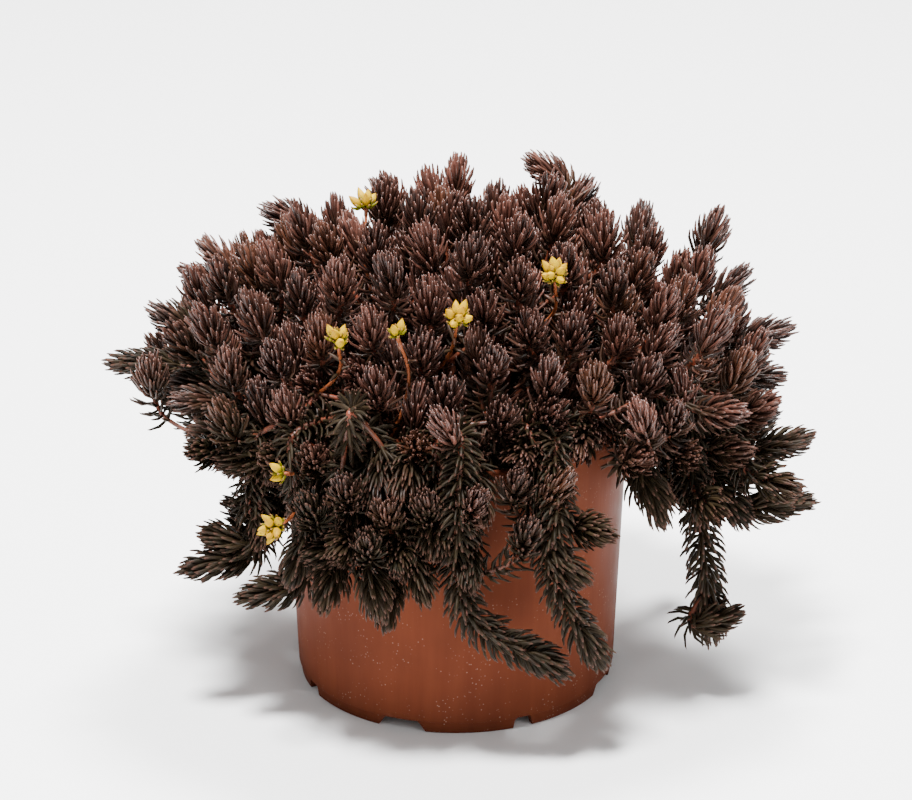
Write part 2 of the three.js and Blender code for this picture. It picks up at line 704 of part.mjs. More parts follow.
// Bends the stems apart where two of different sprigs come too close
function bendStemsClear(sprigs) {
  const stretches = sprigs.flatMap((sprig) =>
    sprig.shoots.flatMap((shoot) => stretchesOf(shoot, sprig)),
  );
  for (let round = 0; round < BEND_ROUNDS; round++) {
    stretches.forEach((one, i) => {
      for (let j = i + 1; j < stretches.length; j++) {
        const two = stretches[j];
        if (one.sprig === two.sprig || (one.leafy && two.leafy)) continue;
        const room = one.leafy || two.leafy ? STEM_TO_HEAD : STEM_TO_STEM;
        const reach = one.a.distanceTo(one.b) + two.a.distanceTo(two.b) + room;
        if (one.a.distanceTo(two.a) > reach) continue;
        const { s, t, gap, distance } = nearest(one.a, one.b, two.a, two.b);
        if (distance > room) continue;
        const step = (room - distance) / (distance + TOUCHING) / 2;
        if (one.freeA) one.a.addScaledVector(gap, step * (1 - s));
        if (one.freeB) one.b.addScaledVector(gap, step * s);
        if (two.freeA) two.a.addScaledVector(gap, -step * (1 - t));
        if (two.freeB) two.b.addScaledVector(gap, -step * t);
      }
    });
    for (const { a, b, freeA, freeB } of stretches) {
      if (!RIM_SAMPLES.some((share) => meetsRim(a.clone().lerp(b, share)))) continue;
      if (freeA) a.z += RIM_LIFT;
      if (freeB) b.z += RIM_LIFT;
    }
  }
}

// Swells the main stem at its joint, where its side shoots leave it
function addKnuckle(sprig) {
  const [main] = sprig.shoots;
  if (sprig.joint >= main.leafFrom) return;
  const joint = main.points[sprig.joint];
  const along = main.points[sprig.joint + 1].clone().sub(joint).normalize();
  main.points.splice(sprig.joint + 1, 0, joint.clone().addScaledVector(along, KNUCKLE));
  main.radii.splice(sprig.joint, 1, KNUCKLE_RADIUS, KNUCKLE_RADIUS);
  main.leafFrom += 1;
}

// Opens the face of the main stem's joint that looks most towards a side shoot, and gives its corners
function openFace(skin, sprig, shoot) {
  const way = shoot.points[1].clone().sub(shoot.points[0]).normalize();
  let best = null;
  for (const face of skin.faces) {
    if (face.shoot !== sprig.shoots[0] || face.ring !== sprig.joint || face.open) continue;
    const [a, b, c] = face.corners.map((corner) => skin.corners[corner]);
    const normal = b.clone().sub(a).cross(c.clone().sub(a)).normalize();
    const facing = normal.dot(way);
    if (!best || facing > best.facing) best = { face, facing, middle: middleOf([a, b, c]) };
  }
  best.face.open = true;
  shoot.points[0] = best.middle;
  return best.face.corners;
}

function middleOf(points) {
  const middle = vector(0, 0, 0);
  points.forEach((point) => middle.addScaledVector(point, 1 / points.length));
  return middle;
}

// Joins two rings of three corners with six faces
function joinRings(skin, low, high, marks) {
  for (let k = 0; k < 3; k++) {
    const next = (k + 1) % 3;
    skin.faces.push({ corners: [low[k], low[next], high[k]], ...marks });
    skin.faces.push({ corners: [low[next], high[next], high[k]], ...marks });
  }
}

// Adds a shoot to the skin as a three-sided tube, from a cap or from the face that it starts on
function addTube(skin, shoot, opened) {
  const { points, radii, leafFrom, end } = shoot;
  const side = STEM_SIDE.clone();
  let ring = opened;
  let turn = 0;
  shoot.tangents = points.map((point, i) => {
    const ahead = points[i + 1] ?? end;
    return ahead.clone().sub(points[i - 1] ?? point).normalize();
  });
  points.forEach((point, i) => {
    const tangent = shoot.tangents[i];
    const started = i > 0 || opened;
    if (i === 0 && opened) side.copy(skin.corners[opened[0]]).sub(point);
    side.addScaledVector(tangent, -side.dot(tangent)).normalize();
    if (i === 0 && opened) return;
    const other = tangent.clone().cross(side);
    if (i > leafFrom) turn += (RING_TURN + BAND_TWIST) * DEGREE;
    const next = [0, 1, 2].map((k) => {
      const angle = turn + (k * 2 * HALF_TURN) / 3;
      const corner = point.clone().addScaledVector(side, radii[i] * Math.cos(angle));
      return skin.corners.push(corner.addScaledVector(other, radii[i] * Math.sin(angle))) - 1;
    });
    if (started) joinRings(skin, ring, next, { shoot, ring: i - 1, leafy: i > leafFrom });
    else skin.faces.push({ corners: [next[0], next[2], next[1]], shoot, ring: 0, leafy: false });
    ring = next;
  });
  const tip = skin.corners.push(end) - 1;
  const last = points.length - 1;
  for (let k = 0; k < 3; k++) {
    const corners = [ring[k], ring[(k + 1) % 3], tip];
    skin.faces.push({ corners, shoot, ring: last, leafy: last >= leafFrom });
  }
}

// The skin of a sprig before its leaves: the main shoot, and side shoots that grow from its joint
function skinOf(sprig) {
  const skin = { corners: [], faces: [] };
  sprig.shoots.forEach((shoot, i) => {
    addTube(skin, shoot, i > 0 ? openFace(skin, sprig, shoot) : null);
  });
  return skin;
}

// The needles that a shoot can bear: one on each face of its leafy part, its root and its way
function needleBeds(shoot, skin, draw) {
  const last = shoot.points.length - 1;
  const faces = skin.faces.filter((face) => face.shoot === shoot && face.leafy && !face.open);
  return faces.map((face) => {
    const root = middleOf(face.corners.map((corner) => skin.corners[corner]));
    const axis = shoot.tangents[face.ring].clone();
    axis.add(shoot.tangents[Math.min(face.ring + 1, last)]).normalize();
    const out = root.clone().sub(shoot.points[face.ring]);
    out.addScaledVector(axis, -out.dot(axis)).normalize();
    const before = (last - face.ring) * BAND + (face.ring < last ? 0 : -BAND);
    const open = HIGH_NEEDLE_ANGLE + NEEDLE_OPENING * before;
    const atTip = face.ring === last;
    const angle = atTip ? TIP_NEEDLE_ANGLE : Math.min(open, LOW_NEEDLE_ANGLE);
    const length = NEEDLE_LENGTH * (1 + (draw() - 0.5) * NEEDLE_VARIATION);
    return { face, root, axis, out, angle, length, shoot };
  });
}

function inPot(point) {
  const flat = Math.hypot(point.x, point.y);
  return point.z < POT_HEIGHT + POT_ROOM && flat < RIM_RADIUS + POT_ROOM;
}

// Whether a tapering bar keeps clear of every bar of the other shoots
function standsClear(bar, bars) {
  const middle = bar.a.clone().add(bar.b).multiplyScalar(0.5);
  const half = bar.a.distanceTo(bar.b) / 2;
  return bars.every((other) => {
    if (other.shoot === bar.shoot) return true;
    if (other.middle.distanceTo(middle) > other.half + half + HEAD_CORE_ROOM) return true;
    const { s, t, distance } = nearest(bar.a, bar.b, other.a, other.b);
    const radii = mix(bar.radiusA, bar.radiusB, s) + mix(other.radiusA, other.radiusB, t);
    return distance > radii + CLEAR;
  });
}

function asBar(a, b, radiusA, radiusB, shoot) {
  const middle = a.clone().add(b).multiplyScalar(0.5);
  return { a, b, radiusA, radiusB, shoot, middle, half: a.distanceTo(b) / 2 };
}

// Grows the needles, turn by turn over all shoots: each is leant or shortened until it is clear of
// its neighbours, and left out where none of that helps
function growNeedles(sprigs, flowers) {
  const bars = [];
  const beds = [];
  for (const sprig of sprigs) {
    sprig.skin = skinOf(sprig);
    for (const shoot of sprig.shoots) {
      for (const { a, b, radiusA, radiusB } of stretchesOf(shoot, sprig)) {
        bars.push(asBar(a, b, radiusA + STEM_MARGIN, radiusB + STEM_MARGIN, shoot));
      }
      beds.push(needleBeds(shoot, sprig.skin, drawsFrom(beds.length + FIRST_NEEDLE_DRAW)));
    }
  }
  for (const flower of flowers) {
    for (const { root, tip } of flower.buds) {
      bars.push(asBar(root, tip, BUD_RADIUS, BUD_RADIUS + BUD_MARGIN, flower));
    }
  }
  const most = Math.max(...beds.map((bed) => bed.length));
  for (let turn = 0; turn < most; turn++) {
    for (const shootBeds of beds) {
      const bed = shootBeds[shootBeds.length - 1 - turn];
      if (!bed) continue;
      for (const [lean, share] of NEEDLE_TRIES) {
        const angle = Math.max(bed.angle + lean, LEAST_ANGLE) * DEGREE;
        const tip = bed.root.clone()
          .addScaledVector(bed.axis, Math.cos(angle) * bed.length * share)
          .addScaledVector(bed.out, Math.sin(angle) * bed.length * share);
        const root = bed.root.clone().lerp(tip, NEEDLE_BAR.from);
        const bar = asBar(root, tip, NEEDLE_BAR.rootRadius, NEEDLE_BAR.tipRadius, bed.shoot);
        if (inPot(tip) || !standsClear(bar, bars)) continue;
        bars.push(bar);
        bed.face.needle = tip;
        break;
      }
    }
  }
}

function meshOfFaces(name, corners, triangles, material) {
  const geometry = new THREE.BufferGeometry();
  const positions = new Float32Array(corners.flatMap((corner) => corner.toArray()));
  geometry.setAttribute("position", new THREE.BufferAttribute(positions, 3));
  geometry.setIndex(triangles);
  geometry.computeVertexNormals();
  const mesh = new THREE.Mesh(geometry, material);
  mesh.name = name;
  return mesh;
}

// A sprig's mesh: its skin, with each leafy face drawn out to the tip of its needle
function sprigMesh({ name, skin }) {
  const corners = [...skin.corners];
  const triangles = [];
  for (const face of skin.faces) {
    const [a, b, c] = face.corners;
    if (face.open) continue;
    if (face.needle) {
      const tip = corners.push(face.needle) - 1;
      triangles.push(a, b, tip, b, c, tip, c, a, tip);
    } else {
      triangles.push(a, b, c);
    }
  }
  return meshOfFaces(name, corners, triangles, LEAF_MATERIAL);
}

// A head of buds: a short stalk, and the faces of it that its buds grow from
function flowerOf({ name, at, buds, spread, heading, rise }) {
  const way = pointing(heading, rise);
  const foot = vector(...at).addScaledVector(way, -BUD_REACH);
  const points = BUD_STALK_STEPS.map((step) => foot.clone().addScaledVector(way, step));
  const shoot = {
    points,
    radii: points.map(() => BUD_STALK_RADIUS),
    leafFrom: 0,
    end: points[points.length - 1].clone().addScaledVector(way, BUD_STALK_CAP),
  };
  const skin = { corners: [], faces: [] };
  addTube(skin, shoot, null);
  const grown = skin.faces.filter((face) => face.leafy).slice(-buds).map((face, i) => {
    const root = middleOf(face.corners.map((corner) => skin.corners[corner]));
    const out = root.clone().sub(foot);
    out.addScaledVector(way, -out.dot(way)).normalize();
    const share = face.ring === points.length - 1 ? TOP_BUD_SPREAD : 1;
    const lean = share * spread * DEGREE;
    const length = BUD_LENGTH + (i % 2 ? 0 : BUD_STALKLET);
    const along = way.clone().multiplyScalar(Math.cos(lean)).addScaledVector(out, Math.sin(lean));
    return { face, root, along, tip: root.clone().addScaledVector(along, length) };
  });
  return { name, way, foot, skin, buds: grown };
}

// A head of buds as one mesh: each bud swells to a belt near its middle and ends in a point
function flowerMesh({ name, skin, buds }) {
  const corners = [...skin.corners];
  const triangles = [];
  for (const face of skin.faces) {
    const bud = buds.find((other) => other.face === face);
    if (!bud) {
      triangles.push(...face.corners);
      continue;
    }
    const belt = bud.root.clone().lerp(bud.tip, BUD_BELT);
    const high = face.corners.map((corner) => {
      const out = corners[corner].clone().sub(bud.root);
      out.addScaledVector(bud.along, -out.dot(bud.along)).setLength(BUD_RADIUS);
      return corners.push(out.add(belt)) - 1;
    });
    const around = { faces: [] };
    joinRings(around, face.corners, high, {});
    around.faces.forEach((piece) => triangles.push(...piece.corners));
    const tip = corners.push(bud.tip) - 1;
    for (let k = 0; k < 3; k++) triangles.push(high[k], high[(k + 1) % 3], tip);
  }
  return meshOfFaces(name, corners, triangles, BUD_MATERIAL);
}

// The bare stalk under a head of buds, from the joint of the nearest leafy stem
function addStalks(sprigs, flowers) {
  for (const flower of flowers) {
    const foot = flower.foot.clone().addScaledVector(flower.way, -SEAT_GAP);
    let best = null;
    for (const sprig of sprigs) {
      const joint = sprig.shoots[0].points[sprig.joint];
      const distance = joint.distanceTo(foot);
      const before = foot.clone().sub(joint).dot(flower.way);
      if (before > STALK_RISE && (!best || distance < best.distance)) best = { sprig, joint, distance };
    }
    const neck = foot.clone().addScaledVector(flower.way, -STALK_NECK);
    const bend = foot.clone().addScaledVector(flower.way, -STALK_RUN_IN * best.distance);
    best.sprig.shoots.push({
      points: [best.joint, bend, neck],
      radii: [STALK_RADIUS, STALK_RADIUS, STALK_RADIUS],
      leafFrom: Infinity,
      end: foot,
      held: 0,
    });
  }
}

function plainMaterial(color, roughness) {
  return new THREE.MeshStandardMaterial({ color, roughness, metalness: 0 });
}

const POT_MATERIAL = plainMaterial("#7a3d24", 0.45);
const SOIL_MATERIAL = plainMaterial("#2a1d16", 0.95);
const LEAF_MATERIAL = plainMaterial("#3b2422", 0.55);
const BUD_MATERIAL = plainMaterial("#d8c43a", 0.5);

const cells = moundCells();
const headGroups = cells.map(cellHeads);
const heads = headGroups.flat();
placeOutstanding(heads);
spreadHeads(heads);
const free = heads.filter((head) => !head.fixed);
free.forEach(tuckIn);
free.forEach(clearOfWall);
const sprigs = cells.map((cell, i) => sprigOf(cell, headGroups[i], i));
sprigs.push(...TRAILERS.map(trailerOf));
const flowers = FLOWER_HEADS.map(flowerOf);
addStalks(sprigs, flowers);
bendStemsClear(sprigs);
sprigs.forEach(addKnuckle);
growNeedles(sprigs, flowers);

const plant = new THREE.Group();
plant.position.set(POT_AXIS.x, POT_AXIS.y, 0);
plant.add(meshOf("pot", potSolid(), POT_MATERIAL));
plant.add(meshOf("soil", soilSolid(sprigs.map((sprig) => sprig.root)), SOIL_MATERIAL));
plant.add(...sprigs.map(sprigMesh));
plant.add(...flowers.map(flowerMesh));

export default plant;
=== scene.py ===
# A potted stonecrop with chocolate-brown needle leaves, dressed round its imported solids: a moulded
# plastic pot, crumbly soil, leafy stems that arch into a mound, and heads of yellow buds.
# The plant's layout follows the same rule as its solids, in millimetres about the pot's axis, and
# every mesh is made in metres in the part's own frame.
import math

import bpy
import numpy as np

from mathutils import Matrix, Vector


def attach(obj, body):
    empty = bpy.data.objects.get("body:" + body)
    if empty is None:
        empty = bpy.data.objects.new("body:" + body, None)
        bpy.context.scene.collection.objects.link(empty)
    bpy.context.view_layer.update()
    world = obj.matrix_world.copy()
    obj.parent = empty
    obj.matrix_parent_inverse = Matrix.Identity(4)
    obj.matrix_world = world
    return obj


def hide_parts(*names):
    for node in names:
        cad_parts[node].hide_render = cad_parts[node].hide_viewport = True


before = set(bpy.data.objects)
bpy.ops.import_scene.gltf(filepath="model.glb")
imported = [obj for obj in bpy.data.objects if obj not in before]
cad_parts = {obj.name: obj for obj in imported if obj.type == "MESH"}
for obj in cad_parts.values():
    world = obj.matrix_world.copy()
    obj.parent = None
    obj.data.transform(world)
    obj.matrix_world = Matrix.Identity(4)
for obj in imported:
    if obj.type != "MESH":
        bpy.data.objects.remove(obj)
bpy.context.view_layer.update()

MM = 0.001
DEGREE = math.pi / 180
FULL_TURN = 2 * math.pi
QUARTER_TURN = math.pi / 2
GOLDEN_ANGLE = math.pi * (3 - math.sqrt(5))
UP = np.array([0.0, 0.0, 1.0])

# The pot and the soil
POT_AXIS = np.array([-2.0, -11.0, 0.0])
POT_HEIGHT = 115.5
RIM_RADIUS = 70.0
WALL = 1.3
SOIL_TOP = 103.0
ROOT_Z = 93.0
COLLAR_Z = POT_HEIGHT + 4

# The mound that the shoot tips reach
MOUND_Z = 116.0
MOUND_TOP = 93.0
MOUND_SIDE = 138.0
MOUND_FRONT = 88.0
MOUND_BACK = 109.0
SKIRT_DROP = 62.0
SKIRT_HUG = 92.0
EVEN_SPACING = 0.083
LEFT_SHOULDER = 132.0
LEFT_TUCK = 0.4
LEFT_TUCK_DEPTH = 45.0

# Rings of leafy stems from the crown down: how many, the polar angles, and how far out they root
RINGS = [
    (1, -11, 11, 0),
    (5, 11, 30, 15),
    (9, 30, 51, 27),
    (10, 51, 74, 38),
    (10, 74, 98, 48),
]
RING_OFFSET = 0.37
SKIRT_AZIMUTHS = [-172, -152, -135, -111, -92, -30, -9, 24, 80, 140]
SKIRT_FROM, SKIRT_TO, SKIRT_SPAN, SKIRT_ROOT = 98, 128, 20, 57

# The heads of a leafy stem in its cell, and how they are evened out
HEAD_SPOTS = [(-0.25, -0.25), (-0.25, 0.25), (0.25, -0.25), (0.25, 0.25)]
SPOT_STRAY = 0.2
DEPTH_STRAY = 13.0
DEPTH_BIAS = 0.8
STRAY = 0.5
HEAD_LIFT = 0.25
LIFT_FROM, LIFT_SPAN, SIDE_LIFT, FRONT_LIFT = 128.0, 20.0, 0.5, 0.8
HEAD_SPACING = 24.0
BUD_SPACING = 17.0
SPREAD_ROUNDS = 25
SPREAD_STEP = 0.5
WALL_TURNS = 14
WALL_ROOM = 7.0
TURN_DOWN = 0.16
TURN_IN = 0.04
BEND_ROUNDS = 60
BEND_MARGIN = 9.0
RIM_SAMPLES = [0, 0.15, 0.3, 0.45, 0.6, 0.75, 0.9]
RIM_ROOM = 4.0
RIM_LIFT = 1.5
STEM_TO_STEM = 6.0
STEM_TO_HEAD = 7.0
TOUCHING = 0.1
TINY = 1e-12
PARALLEL = 1e-9

# How a stem arches, and how its path is stepped
FIRST_RISE = 0.45
RUN_IN = 0.35
OVER_RIM = 133.0
RIM_ARCH = 6.5
RIM_CLEARANCE = 15.3
HANG_REACH = 0.87
MAIN_SHARES = [0.3, 0.6, 1]
JOINT = 3
SHORT_SIDE = 26.0
TRAILER_SHARES = [0.15, 0.35, 0.6, 0.8, 1]
TRAILER_SLACK = 1.04
SIDE_BANDS = 4
STALK_RISE = 12.0
STALK_NECK = 1.0
STALK_RUN_IN = 0.4
SEAT_GAP = 0.3

# A leafy head
HEAD_BANDS = 3
BAND = 4.0
CORE_TIP = 1.6
TIP_REACH = 9.5
MAIN_RADII = (1.5, 1.2)
SIDE_RADII = (1.1, 1.0)
STALK_RADIUS = 0.8
CORE_RADII = (1.5, 1.7, 1.6, 1.1)

# The pot's mouldings
LIP_OUT = 1.3
LIP_HEIGHT = 4.0
BASE_RADIUS = 64.0
FLOOR = 1.6
FOOT_HEIGHT = 5.0
FOOT_OUTER = 63.3
FOOT_INNER = 59.5
FOOT_DRAFT = 0.4
WALL_RISE = (RIM_RADIUS - LIP_OUT - BASE_RADIUS) / (POT_HEIGHT - LIP_HEIGHT - FOOT_HEIGHT)
POT_SIDES = 128
NOTCH_COUNT = 8
DRAIN_COUNT = 4
FIRST_NOTCH = -110
WIDE_NOTCH = (20.0, 14.0)
NARROW_NOTCH = (8.5, 6.0)
NOTCH_ROOF = 0.3
DRAIN_RADIUS = 4.5
DRAIN_CIRCLE = 50.0
NOTCH_CORNER, NOTCH_FLARE, NOTCH_INSET = 0.8, 0.5, 0.4
DRAIN_SIDES = 32
CUTTER_MARGIN = 4.0
CUTTER_DEPTH = 12
FILLET_STEPS = 4
SHARP_ANGLE = 40

# The soil's crumbly top; the sizes and shapes of crumbs are the least and the span above it
SOIL_CROWN = 3.0
SOIL_EDGE = 65.6
SOIL_GRID = (26, 96)
SOIL_SEED = 11
CRUMBS = 420
CRUMB_SIZES = (0.6, 1.5)
CRUMB_SHAPES = (0.6, 0.7)
CRUMB_SIT = 0.35
CRUMB_MARGIN = 2
SOIL_ROUGH = 0.7
SOIL_SINK = 1.2

# How stems and leaves are drawn: the name of the marks, the material of each, and the tubes' ends
MARK = "leaf"
LEAF_SLOT, STEM_SLOT = 0, 1
TUBE_SIDES, THIN_SIDES, BUD_STALK_SIDES = 6, 5, 8
TUBE_BULGE = 0.5
TUBE_SHORT = 1.0
HEAD_SHORT = 0.4
STALK_TAPER = 0.8
PATH_STEP = 1.5
TUBE_STEP = 3.2
LEAF_STRIP = 0.9
STRIP_LONG, STRIP_WIDE, STRIP_START = 0.98, 0.8, 0.01
STRIP_CAP = 0.005
CELL_MARGIN = 0.06
LEAF_WIDTH = 1.65
LEAF_BACK = 0.95
LEAF_FACE = 0.62
FINE_RINGS = [0, 0.3, 0.72, 0.93]
FINE_SHARES = [0.78, 1, 0.84, 0.5]
PLAIN_RINGS = [0, 0.42, 0.86]
PLAIN_SHARES = [0.8, 1, 0.6]
LEAF_SEED = 100
ROOT_SINK = 0.7
STEM_SLIM = 0.85
CORE_END = 0.7

# A head's leaves, by their share of the way from its lowest turn to its tip: the angles that a leaf
# leaves the stem at and ends at, and its length
HEAD_ANGLES = ([0, 0.35, 0.7, 0.9, 1], [80, 68, 50, 30, 8], [14, 6, -4, -10, -8])
HEAD_CLOSED = 0.68
HEAD_SMALL = 0.82
HEAD_LENGTHS = ([0, 0.3, 0.8, 1], [12.4, 13.0, 11.8, 10.2])
HEAD_LEAVES = 5.1
LEAN_STRAY = 24.0
LENGTH_STRAY = 0.26
WIDTH_STRAY = 0.2
AROUND_STRAY = 0.5
SKEW = 0.3
ANY_TURN = 6.28
OPEN_STRAY, OPEN_AGED = 0.5, 0.6

# The looser leaves on the stem below a head, and along a trailing stem
STEM_ANGLES = ([0, 1], [90, 78], [40, 18])
STEM_LENGTHS = ([0, 1], [8.0, 10.5])
STEM_LEAFY = 34.0
STEM_LEAVES = 1.5
HANGS_BELOW = 138.0
HANG_LEAFY = 70.0
HANG_LEAVES = 2.4
TRAILER_HEAD = 14.0
TRAILER_LEAVES = 3.4
TRAILER_BARE = 0.3
STEM_BARE = 0.3
SHORT_STRETCH = 2

# How old and how shaded leaves look: they start at a height and get older downwards, to the left and to the
# foot
# Downwards and to the left the darker, greener colour is partly real ageing and partly painted shade under
# the mound
OLD_AND_SHADED_BELOW = 148.0
OLD_AND_SHADED_SPAN = 72.0
OLD_AND_SHADED_LEFT = 480.0
OLD_AND_SHADED_LIMIT = 0.85
AGE_STRAY = 0.25
HEAD_FOOT_AGE, STEM_FOOT_AGE = 0.3, 0.2
STEM_AGED = 0.35
OLD_ROUGHNESS = (0.55, 0.55, 0.55)
YOUNG_SHINE, OLD_SHINE = 0.34, 0.12

# A leaf's tone, from dark to rosy: a head's or a stem's least tone and span, and a leaf's own stray
HEAD_TONE = (0.22, 0.5)
STEM_TONE = (0.3, 0.2)
TONE_STRAY = 0.6

# Further shoots that close the mound: the level of each layer, how many spots it tries, and their
# spacing; how low they hang by azimuth; how they stray, turn up and grow from the stems
EXTRA_LEVELS = [(0.95, 330, 14.5), (0.8, 300, 14.5), (0.6, 150, 17.0)]
EXTRA_DOWN = 1.5
SKIRT_REACH = (
    [-180, -150, -125, -92, -78, -45, -30, 20, 180],
    [112, 118, 124, 124, 102, 98, 116, 118, 112],
)
EXTRA_FROM_BUDS = 15.0
EXTRA_ROOM = 5.0
EXTRA_RISE = 0.3
EXTRA_SEED = 500
EXTRA_PIECES = 8
EXTRA_STEM = 0.9
EXTRA_LEAVES = 5.5
EXTRA_LEAFY = 12.0
EXTRA_BARE = 0.15
EXTRA_UP = 0.8
EXTRA_ASTRAY = 1.4
EXTRA_UP_SPAN = 25.0
TRAILER_SKIP = 3
PARENT_FROM, PARENT_TO, PARENT_STEP = 3, 6, 3.0
FALLING_WEIGHT, FALLING_ROOM = 3, 20
PARENTS_TRIED = 40
EXTRA_SHARES = (0, 0.25, 0.5, 0.75, 1)
EXTRA_SAMPLES = 12

# Single further shoots over the front of the pot: the tip, its heading and its rise in degrees
EXTRA_PLACED = [
    ((-9, -88, 152), -145, 61),
    ((41, -68, 152), -17, 73),
    ((44, -84, 124), -31, 56),
    ((60, -74, 101), 17, 15),
    ((29, -96, 109), -71, 59),
    ((52, -88, 76), -16, -35),
    ((5, -98, 77), -90, -36),
    ((9, -98, 122), -72, 52),
    ((-12, -98, 121), -96, 54),
    ((12, -100, 100), -89, -7),
    ((-13, -100, 105), -95, 50),
    ((-27, -98, 117), -95, 52),
    ((-34, -100, 105), -96, 52),
    ((-48, -96, 91), -114, -3),
    ((-28, -94, 63), -64, -56),
    ((-52, -86, 60), -146, -47),
    ((-10, -96, 70), -65, -45),
    ((-60, -84, 86), -138, 2),
    ((-44, -94, 125), -104, 52),
    ((-58, -86, 115), -111, 55),
    ((-21, -102, 87), -89, -10),
    ((24, -92, 127), -79, 56),
    ((-3, -100, 91), -90, -18),
]
PLACED_ROOM = 7.5
BUD_VIEW = (-90, 23)
BUD_ROOM = 15.0

# The fine heads of buds: the stalks, the buds, their sepals, and the small leaves on the stalk. The
# lengths and widths are shares of the full size: the least, and the span above it.
BUD_STALK_SINK, BUD_STALK_MIDDLE, BUD_STALK_TOP = 0.2, 2.0, 4.0
BUD_STALK_TAPER = 0.9
BUD_STALK_MARKS = (0.5, 0.1, 0.5)
LOWEST_STALKLET = 1.6
BUD_STALKLET = 2.0
STALKLET_RADII = [0.5, 0.62]
STALKLET_BOW, STALKLET_SINK = 0.2, 0.4
STALKLET_MARKS = (0.5, 0.3, 0.5)
STALKLET_LENGTHS = (0.6, 0.8)
BUDS_FINE = 1.35
BUD_START = 0.3
BUD_LENGTHS = (0.85, 0.25)
BUD_WIDTHS = (0.88, 0.2)
BUD_FAN = 0.95
BUD_LIFT = 0.12
BUD_LONG = 6.6
BUD_WIDE = 3.3
BUD_SIDES = 20
PETALS = 5
BUD_PROFILE = (
    [0, 0.08, 0.2, 0.35, 0.5, 0.65, 0.8, 0.92, 1],
    [0.35, 0.62, 0.88, 1, 0.98, 0.82, 0.55, 0.28, 0.08],
)
BUD_LOBE = 0.09
BUD_TWIST = 0.5
BUD_BEND = 0.08
BUD_POINT = 0.03
BUD_SINK = 0.2
BUD_INNER, BUD_MARGIN, BUD_CAP = 0.9, 0.05, 0.02
SEPAL_ANGLES = (66, 4)
SEPAL_ROOT = 0.35
SEPAL_LONG = 0.62
SEPAL_WIDE = 1.7
SEPAL_SHARES = [0.7, 1, 0.7, 0.35]
BRACTS = 5
BRACTS_FROM, BRACTS_END = 0.45, 3
BRACT_MARKS = (0.45, (0.6, 0.5), 0.9)
BRACT_ANGLES = ([0, 1], [60, 45], [95, 80])
BRACT_LENGTHS = ([0, 1], [6.5, 5.0])
FLOWER_SEED = 900

# Colours, as linear light
LEAF_DARK = (0.014, 0.0055, 0.004)
LEAF_BROWN = (0.056, 0.021, 0.014)
LEAF_ROSY = (0.175, 0.065, 0.046)
# Old leaves' colours, kept very dark so that they also paint the shade low on the mound and on its left
LEAF_DEEP_GREEN = (0.0055, 0.0055, 0.002)
LEAF_OLIVE = (0.0230, 0.0165, 0.0065)
LEAF_RUST = (0.09, 0.032, 0.013)
# Painted shade at the foot of each leaf, where the leaves crowd round the stem
LEAF_FOOT_SHADE = (0.030, 0.020, 0.010)
# Painted highlight on each leaf's own redder tip
LEAF_TIP_AND_HIGHLIGHT = (0.11, 0.045, 0.032)
STEM_DARK = (0.030, 0.011, 0.006)
STEM_BROWN = (0.085, 0.026, 0.012)
STEM_ORANGE = (0.20, 0.034, 0.013)
STALK_ORANGE = (0.30, 0.075, 0.020)
BUD_GREEN = (0.075, 0.085, 0.0015)
BUD_LIME = (0.27, 0.205, 0.0005)
BUD_YELLOW = (0.43, 0.265, 0.0002)
BUD_WARM = (0.32, 0.115, 0.001)
BUD_TIP = (0.30, 0.10, 0.004)
SEPAL_GREEN = (0.10, 0.095, 0.002)
SEPAL_TIP = (0.30, 0.12, 0.05)
POT_BROWN = (0.096, 0.0245, 0.0120)
POT_LIGHT = (0.116, 0.031, 0.0145)
POT_DARK = (0.060, 0.0165, 0.0090)
POT_DUST = (0.55, 0.42, 0.34)
SOIL_DARK = (0.006, 0.004, 0.003)
SOIL_BROWN = (0.024, 0.014, 0.009)
SOIL_PALE = (0.075, 0.045, 0.027)
FLOOR_WHITE = (0.93, 0.93, 0.93)
FLOOR_PALE = (0.95, 0.95, 0.95)

# The pot's index of refraction: low, because its plastic hardly shines
POT_IOR = 1.07

# The stage: lights with their place, aim, size and power, and the camera, in metres, watts and degrees
FLOOR_SIZE = 8.0
LIGHTS = [
    ("key", (-0.25, -0.45, 2.0), (0, 0, 0.12), 0.42, 155.0),
    ("fill", (1.4, -1.2, 0.9), (0, 0, 0.1), 1.0, 8.0),
    ("top", (0.15, 0.6, 1.7), (0, 0, 0.15), 0.5, 85.0),
]
WORLD_COLOR = (1.0, 1.0, 1.0)
WORLD_STRENGTH = 0.6
CAMERA_PLACE = (-0.002, -1.553, 0.7758)
CAMERA_PITCH = 23.15
CAMERA_LENS = 166.3
CAMERA_SENSOR = 36.0

